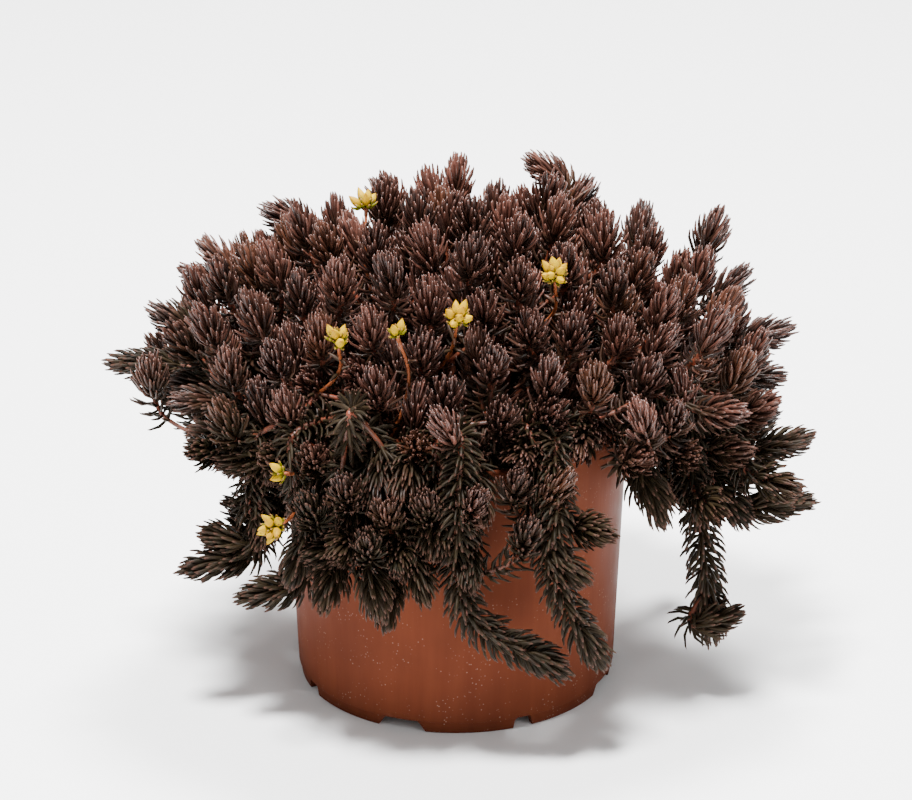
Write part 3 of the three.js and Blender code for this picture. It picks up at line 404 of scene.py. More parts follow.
# Shoots that stand out of the mound: the tip of one head, its heading and rise in degrees, its bands
OUTSTANDING = [
    ((-142, 8, 130), 178, 4, 5),
    ((-124, 22, 149), 165, 28, 3),
    ((-113, 32, 161), 172, 20, 3),
    ((-104, 39, 172), 150, 38, 3),
    ((-79, 47, 182), 168, 26, 3),
    ((-50, 56, 177), 130, 50, 3),
    ((-35, 54, 192), 140, 45, 3),
    ((1, 60, 201), 80, 75, 3),
    ((15, 62, 187), 80, 60, 3),
    ((26, 58, 200), 160, 30, 3),
    ((55, 54, 192), 40, 50, 3),
    ((76, 49, 184), 70, 60, 3),
    ((107, 47, 182), 40, 62, 3),
    ((119, 34, 161), 20, 40, 3),
    ((137, 19, 141), 8, 14, 3),
    ((134, 7, 125), 0, 5, 3),
    ((144, -8, 105), 3, 14, 4),
    ((128, -12, 93), 5, 10, 3),
    ((145, -20, 82), -2, 8, 5),
    ((118, -28, 72), -20, -48, 3),
    ((82, -56, 85), -35, -60, 4),
    ((-89, -56, 55), 192, -8, 4),
    ((-111, -44, 62), 188, -10, 5),
    ((-103, -40, 78), 175, 12, 3),
    ((-93, -31, 87), 170, 20, 3),
    ((-107, -16, 107), 182, 6, 3),
    ((-119, -8, 127), 185, 4, 3),
    ((-79, -50, 73), 240, -42, 3),
    ((-52, -82, 61), -115, -50, 3),
    ((-27, -88, 55), -95, -55, 3),
    ((2, -78, 134), -110, 40, 3),
    ((38, -74, 146), -75, 42, 3),
    ((62, -86, 97), -40, 8, 3),
    ((-44, 30, 187), 120, 62, 3),
    ((-45, 9, 192), 150, 66, 3),
    ((17, 32, 199), 80, 70, 3),
    ((-114, -34, 131), 195, 8, 3),
    ((-95, -46, 110), 196, 0, 3),
    ((-66, -67, 64), 220, -62, 3),
]

# Long stems that hang clear: root, bend over the rim, halfway point, end, bands, and a side shoot
TRAILERS = [
    ((54, -14), (80, -22, 131), (94, -26, 90), (102, -26, 31), 15, ((116, -32, 40), 0, 20)),
    ((9, -54), (3, -77, 126), (3, -87, 68), (37, -86, 42), 16, None),
    ((32, -49), (36, -71, 125), (38, -85, 80), (54, -82, 45), 13, None),
    ((-40, 42), (-56, 60, 132), (-72, 76, 88), (-76, 84, 44), 6, None),
    ((44, 38), (64, 53, 132), (82, 66, 92), (92, 72, 56), 5, None),
]

# Heads of yellow buds: the middle of the buds, how many, their spread, heading and rise in degrees. Five
# stand where the view line of the photograph meets the mound's surface, so their depth is a guess.
BUD_REACH = 6.0
FLOWER_HEADS = [
    ("back", (-35, -7, 204), 4, 56, 90, 75),
    ("left", (-45, -62, 169), 4, 54, -94, 60),
    ("single", (-23, -66, 173), 2, 50, -120, 62),
    ("middle", (1, -59, 177), 6, 60, -80, 55),
    ("right", (38, -42, 188), 8, 62, -90, 60),
    ("lower", (-67, -77, 119), 2, 50, -130, 20),
    ("hanging", (-71, -82, 98), 6, 62, -130, 0),
]

# The repeatable draws of the layout
SEED_STEP = 16807
SEED_TOP = 2147483647
SEED_SCATTER = 7919
SEED_SHIFT = 12345


def draws_from(start):
    """A repeatable draw from 0 to 1, the same as the solids' layout has."""
    state = [(start * SEED_SCATTER + SEED_SHIFT) % SEED_TOP]

    def draw():
        state[0] = (state[0] * SEED_STEP) % SEED_TOP
        return state[0] / SEED_TOP

    return draw


def vec(*numbers):
    return np.array(numbers, float)


def unit(v):
    return v / np.linalg.norm(v)


def mix(a, b, share):
    return a + (b - a) * share


def pointing(heading, rise):
    flat = math.cos(rise * DEGREE)
    return vec(flat * math.cos(heading * DEGREE), flat * math.sin(heading * DEGREE), math.sin(rise * DEGREE))


def drawn(rng, least, span):
    """A number drawn from the least one up, over a span."""
    return least + span * rng.random()


def bezier(a, b, c, d, t):
    s = 1 - t
    return a * s**3 + b * (3 * s * s * t) + c * (3 * s * t * t) + d * t**3


def through(points, share):
    """A curve that goes through its points, by its share of the way from the first to the last."""
    last = len(points) - 1
    place = min(share * last, last - 1e-9)
    i = int(place)
    t = place - i

    def at(k):
        if k < 0:
            return 2 * points[0] - points[1]
        if k > last:
            return 2 * points[last] - points[last - 1]
        return points[k]

    weights = [
        (-t + 2 * t * t - t**3) / 2,
        (2 - 5 * t * t + 3 * t**3) / 2,
        (t + 4 * t * t - 3 * t**3) / 2,
        (-t * t + t**3) / 2,
    ]
    return sum(weight * at(i - 1 + k) for k, weight in enumerate(weights))


# Where the mound's surface lies, and how a head on it points


def mound_point(polar, azimuth):
    around = azimuth + EVEN_SPACING * math.sin(2 * azimuth)
    reach = MOUND_FRONT if math.sin(around) < 0 else MOUND_BACK
    drop = MOUND_TOP if polar < QUARTER_TURN else SKIRT_DROP
    point = vec(
        MOUND_SIDE * math.sin(polar) * math.cos(around),
        reach * math.sin(polar) * math.sin(around),
        MOUND_Z + drop * math.cos(polar),
    )
    flat = math.hypot(point[0], point[1])
    if polar > QUARTER_TURN and flat < SKIRT_HUG:
        point[:2] *= SKIRT_HUG / flat
    return point


def mound_level(point):
    """How far out a point lies, with 1 on the mound's surface."""
    reach = MOUND_FRONT if point[1] < 0 else MOUND_BACK
    rise = point[2] - MOUND_Z
    drop = MOUND_TOP if rise > 0 else SKIRT_DROP
    return math.hypot(point[0] / MOUND_SIDE, point[1] / reach, rise / drop)


def mound_direction(point, draw):
    reach = MOUND_FRONT if point[1] < 0 else MOUND_BACK
    out = unit(vec(point[0] / MOUND_SIDE**2, point[1] / reach**2, (point[2] - MOUND_Z) / MOUND_TOP**2))
    high = min(max((point[2] - LIFT_FROM) / LIFT_SPAN, 0), 1)
    lift = HEAD_LIFT + high * (SIDE_LIFT + FRONT_LIFT * out[1] ** 2)
    out[0] += (draw() - 0.5) * STRAY
    out[1] += (draw() - 0.5) * STRAY
    out[2] += (draw() - 0.5) * STRAY + lift
    return unit(out)


class Head:
    """One leafy head: the tip of its needles, the way it points and its bands."""

    def __init__(self, tip, way, bands=HEAD_BANDS):
        self.tip = np.array(tip, float)
        self.way = way
        self.bands = bands
        self.fixed = False
        self.level = mound_level(self.tip)

    def base(self):
        return self.tip - self.way * (self.bands * BAND + CORE_TIP + TIP_REACH)

    def middle(self):
        return (self.tip + self.base()) / 2

    def core(self):
        base = self.base()
        return [base + self.way * (band * BAND) for band in range(1, self.bands + 1)]


def tuck_in(head):
    """Draws in the heads low on the left, where the mound is slim."""
    if head.tip[0] > 0:
        return
    low = min(max((LEFT_SHOULDER - head.tip[2]) / LEFT_TUCK_DEPTH, 0), 1)
    head.tip[0] *= 1 - LEFT_TUCK * low
    flat = math.hypot(head.tip[0], head.tip[1])
    if head.tip[2] > POT_HEIGHT + WALL_ROOM or flat > SKIRT_HUG:
        return
    head.tip[:2] *= SKIRT_HUG / flat


def clear_of_wall(head):
    """Turns a head down until its base stands clear of the pot's wall."""
    for _ in range(WALL_TURNS):
        base = head.base()
        flat = math.hypot(base[0], base[1])
        if base[2] > POT_HEIGHT + WALL_ROOM or flat > RIM_RADIUS + WALL_ROOM:
            break
        out = unit(vec(head.tip[0], head.tip[1], 0))
        head.way = unit(head.way - UP * TURN_DOWN - out * TURN_IN)


def mound_cells():
    """The cells of the mound's surface, one for each leafy stem: polar, azimuth, their spans, root."""
    cells = []
    for level, (count, start, end, root) in enumerate(RINGS):
        for i in range(count):
            azimuth = (i + level * RING_OFFSET) / count * FULL_TURN - QUARTER_TURN
            polar = (start + end) / 2 * DEGREE
            cells.append((polar, azimuth, (end - start) * DEGREE, FULL_TURN / count, root))
    polar = (SKIRT_FROM + SKIRT_TO) / 2 * DEGREE
    span = (SKIRT_TO - SKIRT_FROM) * DEGREE
    for azimuth in SKIRT_AZIMUTHS:
        cells.append((polar, azimuth * DEGREE, span, SKIRT_SPAN * DEGREE, SKIRT_ROOT))
    return cells


def cell_heads(cell, number):
    draw = draws_from(number + 1)
    heads = []
    for down, along in HEAD_SPOTS:
        polar = cell[0] + cell[2] * (down + (draw() - 0.5) * SPOT_STRAY)
        azimuth = cell[1] + cell[3] * (along + (draw() - 0.5) * SPOT_STRAY)
        tip = mound_point(abs(polar), azimuth)
        way = mound_direction(tip, draw)
        heads.append(Head(tip + way * ((draw() - DEPTH_BIAS) * DEPTH_STRAY), way))
    return heads


def place_outstanding(heads):
    """Gives each outstanding shoot the nearest head that is still free."""
    for tip, heading, rise, bands in OUTSTANDING:
        place = vec(*tip)
        free = [head for head in heads if not head.fixed]
        chosen = min(free, key=lambda head: float(np.linalg.norm(head.tip - place)))
        chosen.tip = place
        chosen.way = pointing(heading, rise)
        chosen.bands = bands
        chosen.fixed = True


def spread_heads(heads):
    """Pushes each pair of heads that stands too close apart along the mound's surface."""
    buds = np.array([flower[1] for flower in FLOWER_HEADS], float)
    for _ in range(SPREAD_ROUNDS):
        middles = np.array([head.middle() for head in heads])
        for i, head in enumerate(heads):
            if head.fixed:
                continue
            away = middles[i] - middles
            distance = np.linalg.norm(away, axis=1)
            near = distance <= HEAD_SPACING
            near[i] = False
            share = (HEAD_SPACING - distance[near]) / (distance[near] + TOUCHING) / 2
            push = (away[near] * share[:, None]).sum(0)
            away = head.tip - buds
            distance = np.linalg.norm(away, axis=1)
            near = distance <= BUD_SPACING
            share = (BUD_SPACING - distance[near]) / (distance[near] + TOUCHING)
            push = push + (away[near] * share[:, None]).sum(0)
            head.tip = head.tip + push * SPREAD_STEP
            if head.tip[2] < MOUND_Z:
                continue
            back = head.level / mound_level(head.tip)
            head.tip = head.tip * back
            head.tip[2] += MOUND_Z * (1 - back)


class Shoot:
    """A stem that ends in a leafy part: its points, how thick it is at each, and where leaves begin."""

    def __init__(self, stem, core, stem_radii, way, head=None):
        self.points = [*stem, *core]
        self.leaf_from = len(stem) - 1
        self.head = head
        self.way = way
        self.held = 0
        self.radii = []
        last = len(self.points) - 1
        for i in range(len(self.points)):
            if i < self.leaf_from:
                self.radii.append(mix(stem_radii[0], stem_radii[1], i / self.leaf_from))
            else:
                self.radii.append(CORE_RADII[max(len(CORE_RADII) - 1 - (last - i), 0)])
        self.end = self.points[-1] + way * CORE_TIP


class Stalk:
    """The bare stalk under a head of buds."""

    def __init__(self, points, end):
        self.points = points
        self.radii = [STALK_RADIUS] * len(points)
        self.leaf_from = len(points) + 1
        self.head = None
        self.held = 0
        self.end = end


class Sprig:
    """A stem from its root in the soil with all that grows from it."""

    def __init__(self, name, root, shoots, joint):
        self.name = name
        self.root = root
        self.shoots = shoots
        self.joint = joint


def main_stem(root, base, way):
    distance = np.linalg.norm(root - base)
    flat = math.hypot(base[0], base[1])
    first = root + UP * max(FIRST_RISE * distance, OVER_RIM - root[2])
    second = base - way * (RUN_IN * distance)
    if base[2] < OVER_RIM:
        reach = max(HANG_REACH * flat, RIM_RADIUS + RIM_CLEARANCE) / flat
        second = vec(base[0] * reach, base[1] * reach, OVER_RIM + RIM_ARCH)
    collar = vec(root[0], root[1], COLLAR_Z)
    return [root, collar] + [bezier(collar, first, second, base, share) for share in MAIN_SHARES]


def side_stem(start, along, base, way):
    distance = np.linalg.norm(start - base)
    first = start + along * (RUN_IN * distance)
    second = base - way * (RUN_IN * distance)
    if distance < SHORT_SIDE:
        return [start, base]
    return [start, bezier(start, first, second, base, 0.5), base]


def sprig_of(cell, heads, number):
    """A leafy stem: the main shoot ends in the head nearest to the middle of its heads."""
    bases = [head.base() for head in heads]
    middle = sum(bases) / len(bases)
    order = sorted(range(len(heads)), key=lambda i: float(np.linalg.norm(bases[i] - middle)))
    main = heads[order[0]]
    azimuth = math.atan2(middle[1], middle[0])
    root = vec(cell[4] * math.cos(azimuth), cell[4] * math.sin(azimuth), ROOT_Z)
    stem = main_stem(root, bases[order[0]], main.way)
    shoots = [Shoot(stem, main.core(), MAIN_RADII, main.way, main)]
    shoots[0].held = 1
    along = unit(stem[JOINT] - stem[JOINT - 1])
    for side in order[1:]:
        head = heads[side]
        path = side_stem(stem[JOINT], along, bases[side], head.way)
        shoots.append(Shoot(path, head.core(), SIDE_RADII, head.way, head))
    return Sprig(f"leafy_stem_{number + 1:02d}", root, shoots, JOINT)


def trailer_of(trailer, number):
    """A long stem that hangs over the rim, leafy along its last stretch."""
    root, over, down, tip, bands, side = trailer
    start = vec(root[0], root[1], ROOT_Z)
    guide = [start, vec(*over), vec(*down), vec(*tip)]
    length = sum(float(np.linalg.norm(b - a)) for a, b in zip(guide, guide[1:]))
    leaf_share = 1 - bands * BAND / (length * TRAILER_SLACK)
    collar = vec(root[0], root[1], COLLAR_Z)
    stem = [start, collar] + [through(guide, share * leaf_share) for share in TRAILER_SHARES]
    core = [through(guide, mix(leaf_share, 1, band / bands)) for band in range(1, bands + 1)]
    way = unit(core[-1] - core[-2])
    shoots = [Shoot(stem, core, MAIN_RADII, way)]
    if side:
        head = Head(side[0], pointing(side[1], side[2]))
        path = [core[bands - SIDE_BANDS], head.base()]
        shoots.append(Shoot(path, head.core(), SIDE_RADII, head.way, head))
    shoots[0].held = 1
    return Sprig(f"trailing_stem_{number + 1}", start, shoots, shoots[0].leaf_from + bands - SIDE_BANDS)


def add_stalks(sprigs):
    """Gives each head of buds its stalk, from the joint of the nearest leafy stem."""
    for _, at, _, _, heading, rise in FLOWER_HEADS:
        way = pointing(heading, rise)
        foot = vec(*at) - way * BUD_REACH - way * SEAT_GAP
        best = None
        for sprig in sprigs:
            joint = sprig.shoots[0].points[sprig.joint]
            distance = float(np.linalg.norm(joint - foot))
            before = float((foot - joint) @ way)
            if before > STALK_RISE and (best is None or distance < best[0]):
                best = (distance, sprig, joint)
        bend = foot - way * (STALK_RUN_IN * best[0])
        best[1].shoots.append(Stalk([best[2], bend, foot - way * STALK_NECK], foot))


def dot(u, v):
    return u[0] * v[0] + u[1] * v[1] + u[2] * v[2]


def nearest(a, b, c, d):
    """The nearest points of two stretches: their shares of the way along each, and the gap."""
    u = [b[k] - a[k] for k in range(3)]
    v = [d[k] - c[k] for k in range(3)]
    w = [a[k] - c[k] for k in range(3)]
    uu = max(dot(u, u), TINY)
    uv = dot(u, v)
    vv = max(dot(v, v), TINY)
    uw = dot(u, w)
    vw = dot(v, w)
    spread = uu * vv - uv * uv
    s = (uv * vw - vv * uw) / spread if spread > PARALLEL else 0.0
    s = min(max(s, 0.0), 1.0)
    t = (uv * s + vw) / vv
    if t < 0 or t > 1:
        t = min(max(t, 0.0), 1.0)
        s = min(max((uv * t - uw) / uu, 0.0), 1.0)
    gap = [w[k] + u[k] * s - v[k] * t for k in range(3)]
    return s, t, gap, math.sqrt(gap[0] ** 2 + gap[1] ** 2 + gap[2] ** 2)


def close_pairs(stretches):
    """The pairs of stretches of different sprigs that may touch in this round, in order."""
    a = np.array([stretch[0] for stretch in stretches])
    b = np.array([stretch[1] for stretch in stretches])
    sprig = np.array([stretch[2] for stretch in stretches])
    leafy = np.array([stretch[3] for stretch in stretches])
    middle = (a + b) / 2
    half = np.linalg.norm(a - b, axis=1) / 2
    pairs = []
    for i in range(len(stretches) - 1):
        away = np.linalg.norm(middle[i + 1 :] - middle[i], axis=1)
        near = away < half[i] + half[i + 1 :] + STEM_TO_HEAD + BEND_MARGIN
        near &= (sprig[i + 1 :] != sprig[i]) & ~(leafy[i] & leafy[i + 1 :])
        pairs.extend((i, i + 1 + int(j)) for j in np.nonzero(near)[0])
    return pairs


def meets_rim(point):
    from_rim = math.hypot(point[0], point[1]) - RIM_RADIUS
    return abs(from_rim + WALL / 2) < RIM_ROOM and point[2] < POT_HEIGHT + RIM_ROOM


def bend_stems_clear(sprigs):
    """Bends the stems apart where two of different sprigs come too close."""
    stretches = []
    shared = {}
    for number, sprig in enumerate(sprigs):
        for shoot in sprig.shoots:
            points = [shared.setdefault(id(point), point.tolist()) for point in shoot.points]
            shoot.moving = points
            for i in range(len(points) - 1):
                free_a = shoot.held < i < shoot.leaf_from
                free_b = shoot.held < i + 1 < shoot.leaf_from
                stretches.append((points[i], points[i + 1], number, i >= shoot.leaf_from, free_a, free_b))
    for _ in range(BEND_ROUNDS):
        for i, j in close_pairs(stretches):
            a, b, _, leafy_one, free_a, free_b = stretches[i]
            c, d, _, leafy_two, free_c, free_d = stretches[j]
            room = STEM_TO_HEAD if leafy_one or leafy_two else STEM_TO_STEM
            s, t, gap, distance = nearest(a, b, c, d)
            if distance > room:
                continue
            step = (room - distance) / (distance + TOUCHING) / 2
            moves = [(a, free_a, step * (1 - s)), (b, free_b, step * s)]
            moves += [(c, free_c, -step * (1 - t)), (d, free_d, -step * t)]
            for point, free, share in moves:
                if free:
                    for k in range(3):
                        point[k] += gap[k] * share
        for a, b, _, _, free_a, free_b in stretches:
            if not any(meets_rim([mix(a[k], b[k], share) for k in range(3)]) for share in RIM_SAMPLES):
                continue
            if free_a:
                a[2] += RIM_LIFT
            if free_b:
                b[2] += RIM_LIFT
    for sprig in sprigs:
        for shoot in sprig.shoots:
            shoot.points = [vec(*point) for point in shoot.moving]


def grow_layout():
    """All leafy stems of the plant, as their solids have them."""
    cells = mound_cells()
    groups = [cell_heads(cell, i) for i, cell in enumerate(cells)]
    heads = [head for group in groups for head in group]
    place_outstanding(heads)
    spread_heads(heads)
    free = [head for head in heads if not head.fixed]
    for head in free:
        tuck_in(head)
    for head in free:
        clear_of_wall(head)
    sprigs = [sprig_of(cell, groups[i], i) for i, cell in enumerate(cells)]
    sprigs += [trailer_of(trailer, i) for i, trailer in enumerate(TRAILERS)]
    add_stalks(sprigs)
    bend_stems_clear(sprigs)
    return sprigs


# Smooth paths and what is drawn along them


class Path:
    """A smooth curve through points, with a frame that turns as little as it can along it."""

    def __init__(self, points, step=PATH_STEP):
        points = np.array(points, float)
        gaps = np.maximum(np.linalg.norm(np.diff(points, axis=0), axis=1), 1e-6)
        slopes = np.diff(points, axis=0) / gaps[:, None]
        if len(points) > 2:
            weight = (gaps[:-1] / (gaps[:-1] + gaps[1:]))[:, None]
            inner = slopes[:-1] * (1 - weight) + slopes[1:] * weight
            first = 2 * slopes[0] - inner[0]
            last = 2 * slopes[-1] - inner[-1]
            tangents = np.vstack([first, inner, last])
        else:
            tangents = np.vstack([slopes[0], slopes[0]])
        rows = []
        for i, gap in enumerate(gaps):
            count = max(int(math.ceil(gap / step)), 1)
            t = (np.arange(count) / count)[:, None]
            rows.append(
                points[i] * (2 * t**3 - 3 * t**2 + 1)
                + tangents[i] * gap * (t**3 - 2 * t**2 + t)
                + points[i + 1] * (3 * t**2 - 2 * t**3)
                + tangents[i + 1] * gap * (t**3 - t**2)
            )
        rows.append(points[-1:])
        self.points = np.vstack(rows)
        spans = np.linalg.norm(np.diff(self.points, axis=0), axis=1)
        self.far = np.concatenate([[0.0], np.cumsum(spans)])
        self.length = float(self.far[-1])
        ways = np.gradient(self.points, self.far, axis=0)
        self.ways = ways / np.linalg.norm(ways, axis=1)[:, None]
        side = np.cross(self.ways[0], UP if abs(self.ways[0][2]) < 0.9 else vec(1, 0, 0))
        sides = []
        for way in self.ways:
            side = unit(side - way * (side @ way))
            sides.append(side)
        self.sides = np.array(sides)

    def mark(self, points):
        """How far along the path each of its points lies."""
        return [float(self.far[np.argmin(np.linalg.norm(self.points - point, axis=1))]) for point in points]

    def at(self, far):
        """Points, ways and sides at distances along the path."""
        far = np.clip(np.atleast_1d(far), 0, self.length)
        columns = []
        for table in (self.points, self.ways, self.sides):
            columns.append(np.column_stack([np.interp(far, self.far, table[:, k]) for k in range(3)]))
        points, ways, sides = columns
        ways /= np.linalg.norm(ways, axis=1)[:, None]
        sides -= ways * np.einsum("ij,ij->i", sides, ways)[:, None]
        sides /= np.linalg.norm(sides, axis=1)[:, None]
        return points, ways, sides


class Surface:
    """Collects the corners and faces of one piece, with a mark of four numbers at each corner."""

    def __init__(self):
        self.points = []
        self.marks = []
        self.corners = []
        self.sizes = []
        self.uvs = []
        self.slots = []
        self.count = 0

    def add(self, points, marks, faces, uvs, slot):
        """Adds corners, then faces in arrays of one size each, with their places for the bake."""
        for face, uv in zip(faces, uvs):
            self.corners.append((face + self.count).ravel())
            self.sizes.append(np.full(len(face), face.shape[1]))
            self.uvs.append(uv.reshape(-1, 2))
            self.slots.append(np.full(len(face), slot))
        self.points.append(points)
        self.marks.append(marks)
        self.count += len(points)

    def object(self, name, materials):
        """The piece as a Blender object, in metres in the part's frame."""
        points = (np.vstack(self.points) + POT_AXIS) * MM
        corners = np.concatenate(self.corners)
        sizes = np.concatenate(self.sizes)
        starts = np.concatenate([[0], np.cumsum(sizes)[:-1]])
        mesh = bpy.data.meshes.new(name)
        mesh.vertices.add(len(points))
        mesh.vertices.foreach_set("co", points.ravel().astype(np.float32))
        mesh.loops.add(len(corners))
        mesh.loops.foreach_set("vertex_index", corners.astype(np.int32))
        mesh.polygons.add(len(sizes))
        mesh.polygons.foreach_set("loop_start", starts.astype(np.int32))
        mesh.polygons.foreach_set("use_smooth", np.ones(len(sizes), bool))
        mesh.polygons.foreach_set("material_index", np.concatenate(self.slots).astype(np.int32))
        layer = mesh.uv_layers.new(name="OFBake")
        layer.data.foreach_set("uv", np.vstack(self.uvs).ravel().astype(np.float32))
        marks = mesh.attributes.new(MARK, "FLOAT_COLOR", "POINT")
        marks.data.foreach_set("color", np.vstack(self.marks).ravel().astype(np.float32))
        mesh.update(calc_edges=True)
        for material in materials:
            mesh.materials.append(material)
        piece = bpy.data.objects.new(name, mesh)
        bpy.context.scene.collection.objects.link(piece)
        return piece


class Leaves:
    """Needle leaves that wait to be drawn, as columns of numbers with one row for each leaf."""

    def __init__(self):
        self.rows = []

    def add(self, root, way, out, start, end, length, width, marks):
        """start and end are the leaf's angles from way, at its root and at its tip."""
        count = len(root)
        numbers = [np.broadcast_to(np.asarray(x, float), (count,)) for x in (start, end, length, width)]
        self.rows.append(np.column_stack([root, way, out, *numbers, marks]))

    def count(self):
        return sum(len(rows) for rows in self.rows)

    def draw(self, surface, rings, shares, corner, inner):
        """Draws the leaves as four-sided needles that end in a point, each in its own cell for the bake."""
        if not self.rows:
            return
        table = np.vstack(self.rows)
        count = len(table)
        root, way, out = table[:, 0:3], table[:, 3:6], table[:, 6:9]
        start, end, length, width = (table[:, k : k + 1] for k in (9, 10, 11, 12))
        marks = table[:, 13:16]
        side = np.cross(way, out)
        bend = end - start
        bend = np.where(np.abs(bend) < 1e-3, 1e-3, bend)
        points = []
        tints = []
        for u, share in zip([*rings, 1.0], [*shares, 0.0]):
            turn = start + bend * u
            along = (np.sin(turn) - np.sin(start)) / bend
            away = (np.cos(start) - np.cos(turn)) / bend
            middle = root + length * (along * way + away * out)
            tint = np.hstack([np.full((count, 1), u), marks])
            if share == 0:
                points.append(middle[:, None])
                tints.append(tint[:, None])
                continue
            normal = np.cos(turn) * out - np.sin(turn) * way
            half = width * share / 2
            back = middle + normal * half * LEAF_BACK
            face = middle - normal * half * LEAF_FACE
            points.append(np.stack([back, middle + side * half, face, middle - side * half], 1))
            tints.append(np.repeat(tint[:, None], 4, 1))
        quads, quad_uvs, tips, tip_uvs = [], [], [], []
        top = 4 * (len(rings) - 1)
        for r, (low, high) in enumerate(zip(rings, rings[1:])):
            for k in range(4):
                here, after = 4 * r + k, 4 * r + (k + 1) % 4
                left, right = k / 4, (k + 1) / 4
                quads.append([here, after, after + 4, here + 4])
                quad_uvs.append([(left, low), (right, low), (right, high), (left, high)])
        for k in range(4):
            tips.append([top + k, top + (k + 1) % 4, top + 4])
            tip_uvs.append([(k / 4, rings[-1]), ((k + 1) / 4, rings[-1]), ((k + 0.5) / 4, 1)])
        first = (np.arange(count) * (top + 5))[:, None, None]
        faces = [(first + np.array(part)).reshape(-1, len(part[0])) for part in (quads, tips)]
        uvs = [np.array(part)[None] * inner + corner[:, None, None, :] for part in (quad_uvs, tip_uvs)]
        corners = np.concatenate(points, 1).reshape(-1, 3)
        surface.add(corners, np.concatenate(tints, 1).reshape(-1, 4), faces, uvs, LEAF_SLOT)


def leaf_cells(count):
    """A grid of cells under the stems' strip of the bake, one for each leaf, and what each can hold."""
    across = int(math.ceil(math.sqrt(count / LEAF_STRIP)))
    down = int(math.ceil(count / across))
    number = np.arange(count)
    size = np.array([1 / across, LEAF_STRIP / down])
    corner = np.column_stack([number % across, number // across]) * size + size * CELL_MARGIN
    return corner, size * (1 - 2 * CELL_MARGIN)


def ring_corners(middle, side, other, radius, angles, ends):
    """The corners of rings round their middles, and after them the corner at each end."""
    ring = (
        middle[:, None]
        + side[:, None] * (radius * np.cos(angles))[..., None]
        + other[:, None] * (radius * np.sin(angles))[..., None]
    )
    return np.vstack([ring.reshape(-1, 3), *ends])


def ring_marks(share, sides, marks):
    """The marks of rings of corners at their shares along, and of the corner at each end."""
    rows = np.column_stack([np.repeat(share, sides), np.tile(marks, (len(share) * sides, 1))])
    return np.vstack([rows, [0, *marks], [1, *marks]])


def ring_faces(rings, sides):
    """Quads between rings, the caps that close them, and how far along and around the quads' corners are."""
    i, k = np.meshgrid(np.arange(rings - 1), np.arange(sides), indexing="ij")
    low, high = i * sides, (i + 1) * sides
    after = (k + 1) % sides
    quads = np.stack([low + k, low + after, high + after, high + k], -1).reshape(-1, 4)
    along = np.stack([i, i, i + 1, i + 1], -1) / (rings - 1)
    around = np.stack([k, k + 1, k + 1, k], -1) / sides
    k = np.arange(sides)
    after = (k + 1) % sides
    top = (rings - 1) * sides
    foot_cap = np.column_stack([after, k, np.full(sides, rings * sides)])
    top_cap = np.column_stack([top + k, top + after, np.full(sides, rings * sides + 1)])
    return quads, np.vstack([foot_cap, top_cap]), along, around


def draw_tube(surface, path, end, radii, sides, place, marks):
    """A round stem along a path up to a distance, closed at both ends."""
    count = max(int(end / TUBE_STEP), 2)
    far = np.linspace(0, end, count + 1)
    points, ways, side = path.at(far)
    radius = np.interp(far, radii[0], radii[1])
    angles = np.arange(sides) * FULL_TURN / sides
    ends = (
        points[0] - ways[0] * radius[0] * TUBE_BULGE,
        points[-1] + ways[-1] * radius[-1] * TUBE_BULGE,
    )
    corners = ring_corners(points, side, np.cross(ways, side), radius[:, None], angles, ends)
    quads, caps, along, around = ring_faces(count + 1, sides)
    size = np.array([STRIP_LONG, place[1] * STRIP_WIDE])
    places = np.stack([along, around], -1) * size + np.array([STRIP_START, place[0]])
    cap = np.array([0.0, place[0]]) + np.array([[0, 0], [STRIP_CAP, 0], [0, STRIP_CAP]])
    cap_uvs = np.tile(cap, (len(caps), 1, 1))
    share = far / max(end, 1e-6)
    surface.add(corners, ring_marks(share, sides, marks), [quads, caps], [places, cap_uvs], STEM_SLOT)


# Leaves along shoots


def stray(rng, count, span):
    """Numbers drawn to both sides of 0, over a span."""
    return (rng.random(count) - 0.5) * span


def shed_leaves(leaves, path, start, end, count, rng, angles, lengths, core, marks, turn=0.0):
    """Sets leaves round a stretch of a path by the golden angle: angles and lengths run along it."""
    number = np.arange(count)
    share = (number + 0.5) / count
    far = start + (end - start) * share + stray(rng, count, end - start) / count
    points, ways, sides = path.at(far)
    around = number * GOLDEN_ANGLE + turn + stray(rng, count, AROUND_STRAY)
    other = np.cross(ways, sides)
    out = sides * np.cos(around)[:, None] + other * np.sin(around)[:, None]
    lean = np.interp(share, angles[0], angles[1]) + stray(rng, count, LEAN_STRAY)
    close = np.interp(share, angles[0], angles[2]) + stray(rng, count, LEAN_STRAY)
    length = np.interp(share, lengths[0], lengths[1]) * (1 + stray(rng, count, LENGTH_STRAY))
    radius = np.interp(far, core[0], core[1]) * ROOT_SINK
    way = ways + np.cross(ways, out) * stray(rng, count, SKEW)[:, None]
    way /= np.linalg.norm(way, axis=1)[:, None]
    tone = np.clip(marks[0] + stray(rng, count, TONE_STRAY), 0, 1)
    # The age mark also carries painted shade: leaves low on the mound and on its left come out darker and
    # greener
    age = np.clip(np.interp(share, [0, 1], marks[1]) + stray(rng, count, AGE_STRAY), 0, 1)
    tints = np.column_stack([tone, age, np.full(count, marks[2])])
    width = LEAF_WIDTH * (1 + stray(rng, count, WIDTH_STRAY))
    leaves.add(points + out * radius[:, None], way, out, lean * DEGREE, close * DEGREE, length, width, tints)


def leaf_age_and_shade(point, rng):
    """How old the leaves of a head look, with painted shade: 0 on the crown to 1 low down on the left, with a
    stray.
    """
    low = (OLD_AND_SHADED_BELOW - point[2]) / OLD_AND_SHADED_SPAN + max(-point[0], 0) / OLD_AND_SHADED_LEFT
    return float(np.clip(low, 0, OLD_AND_SHADED_LIMIT) + (rng.random() - 0.5) * AGE_STRAY)


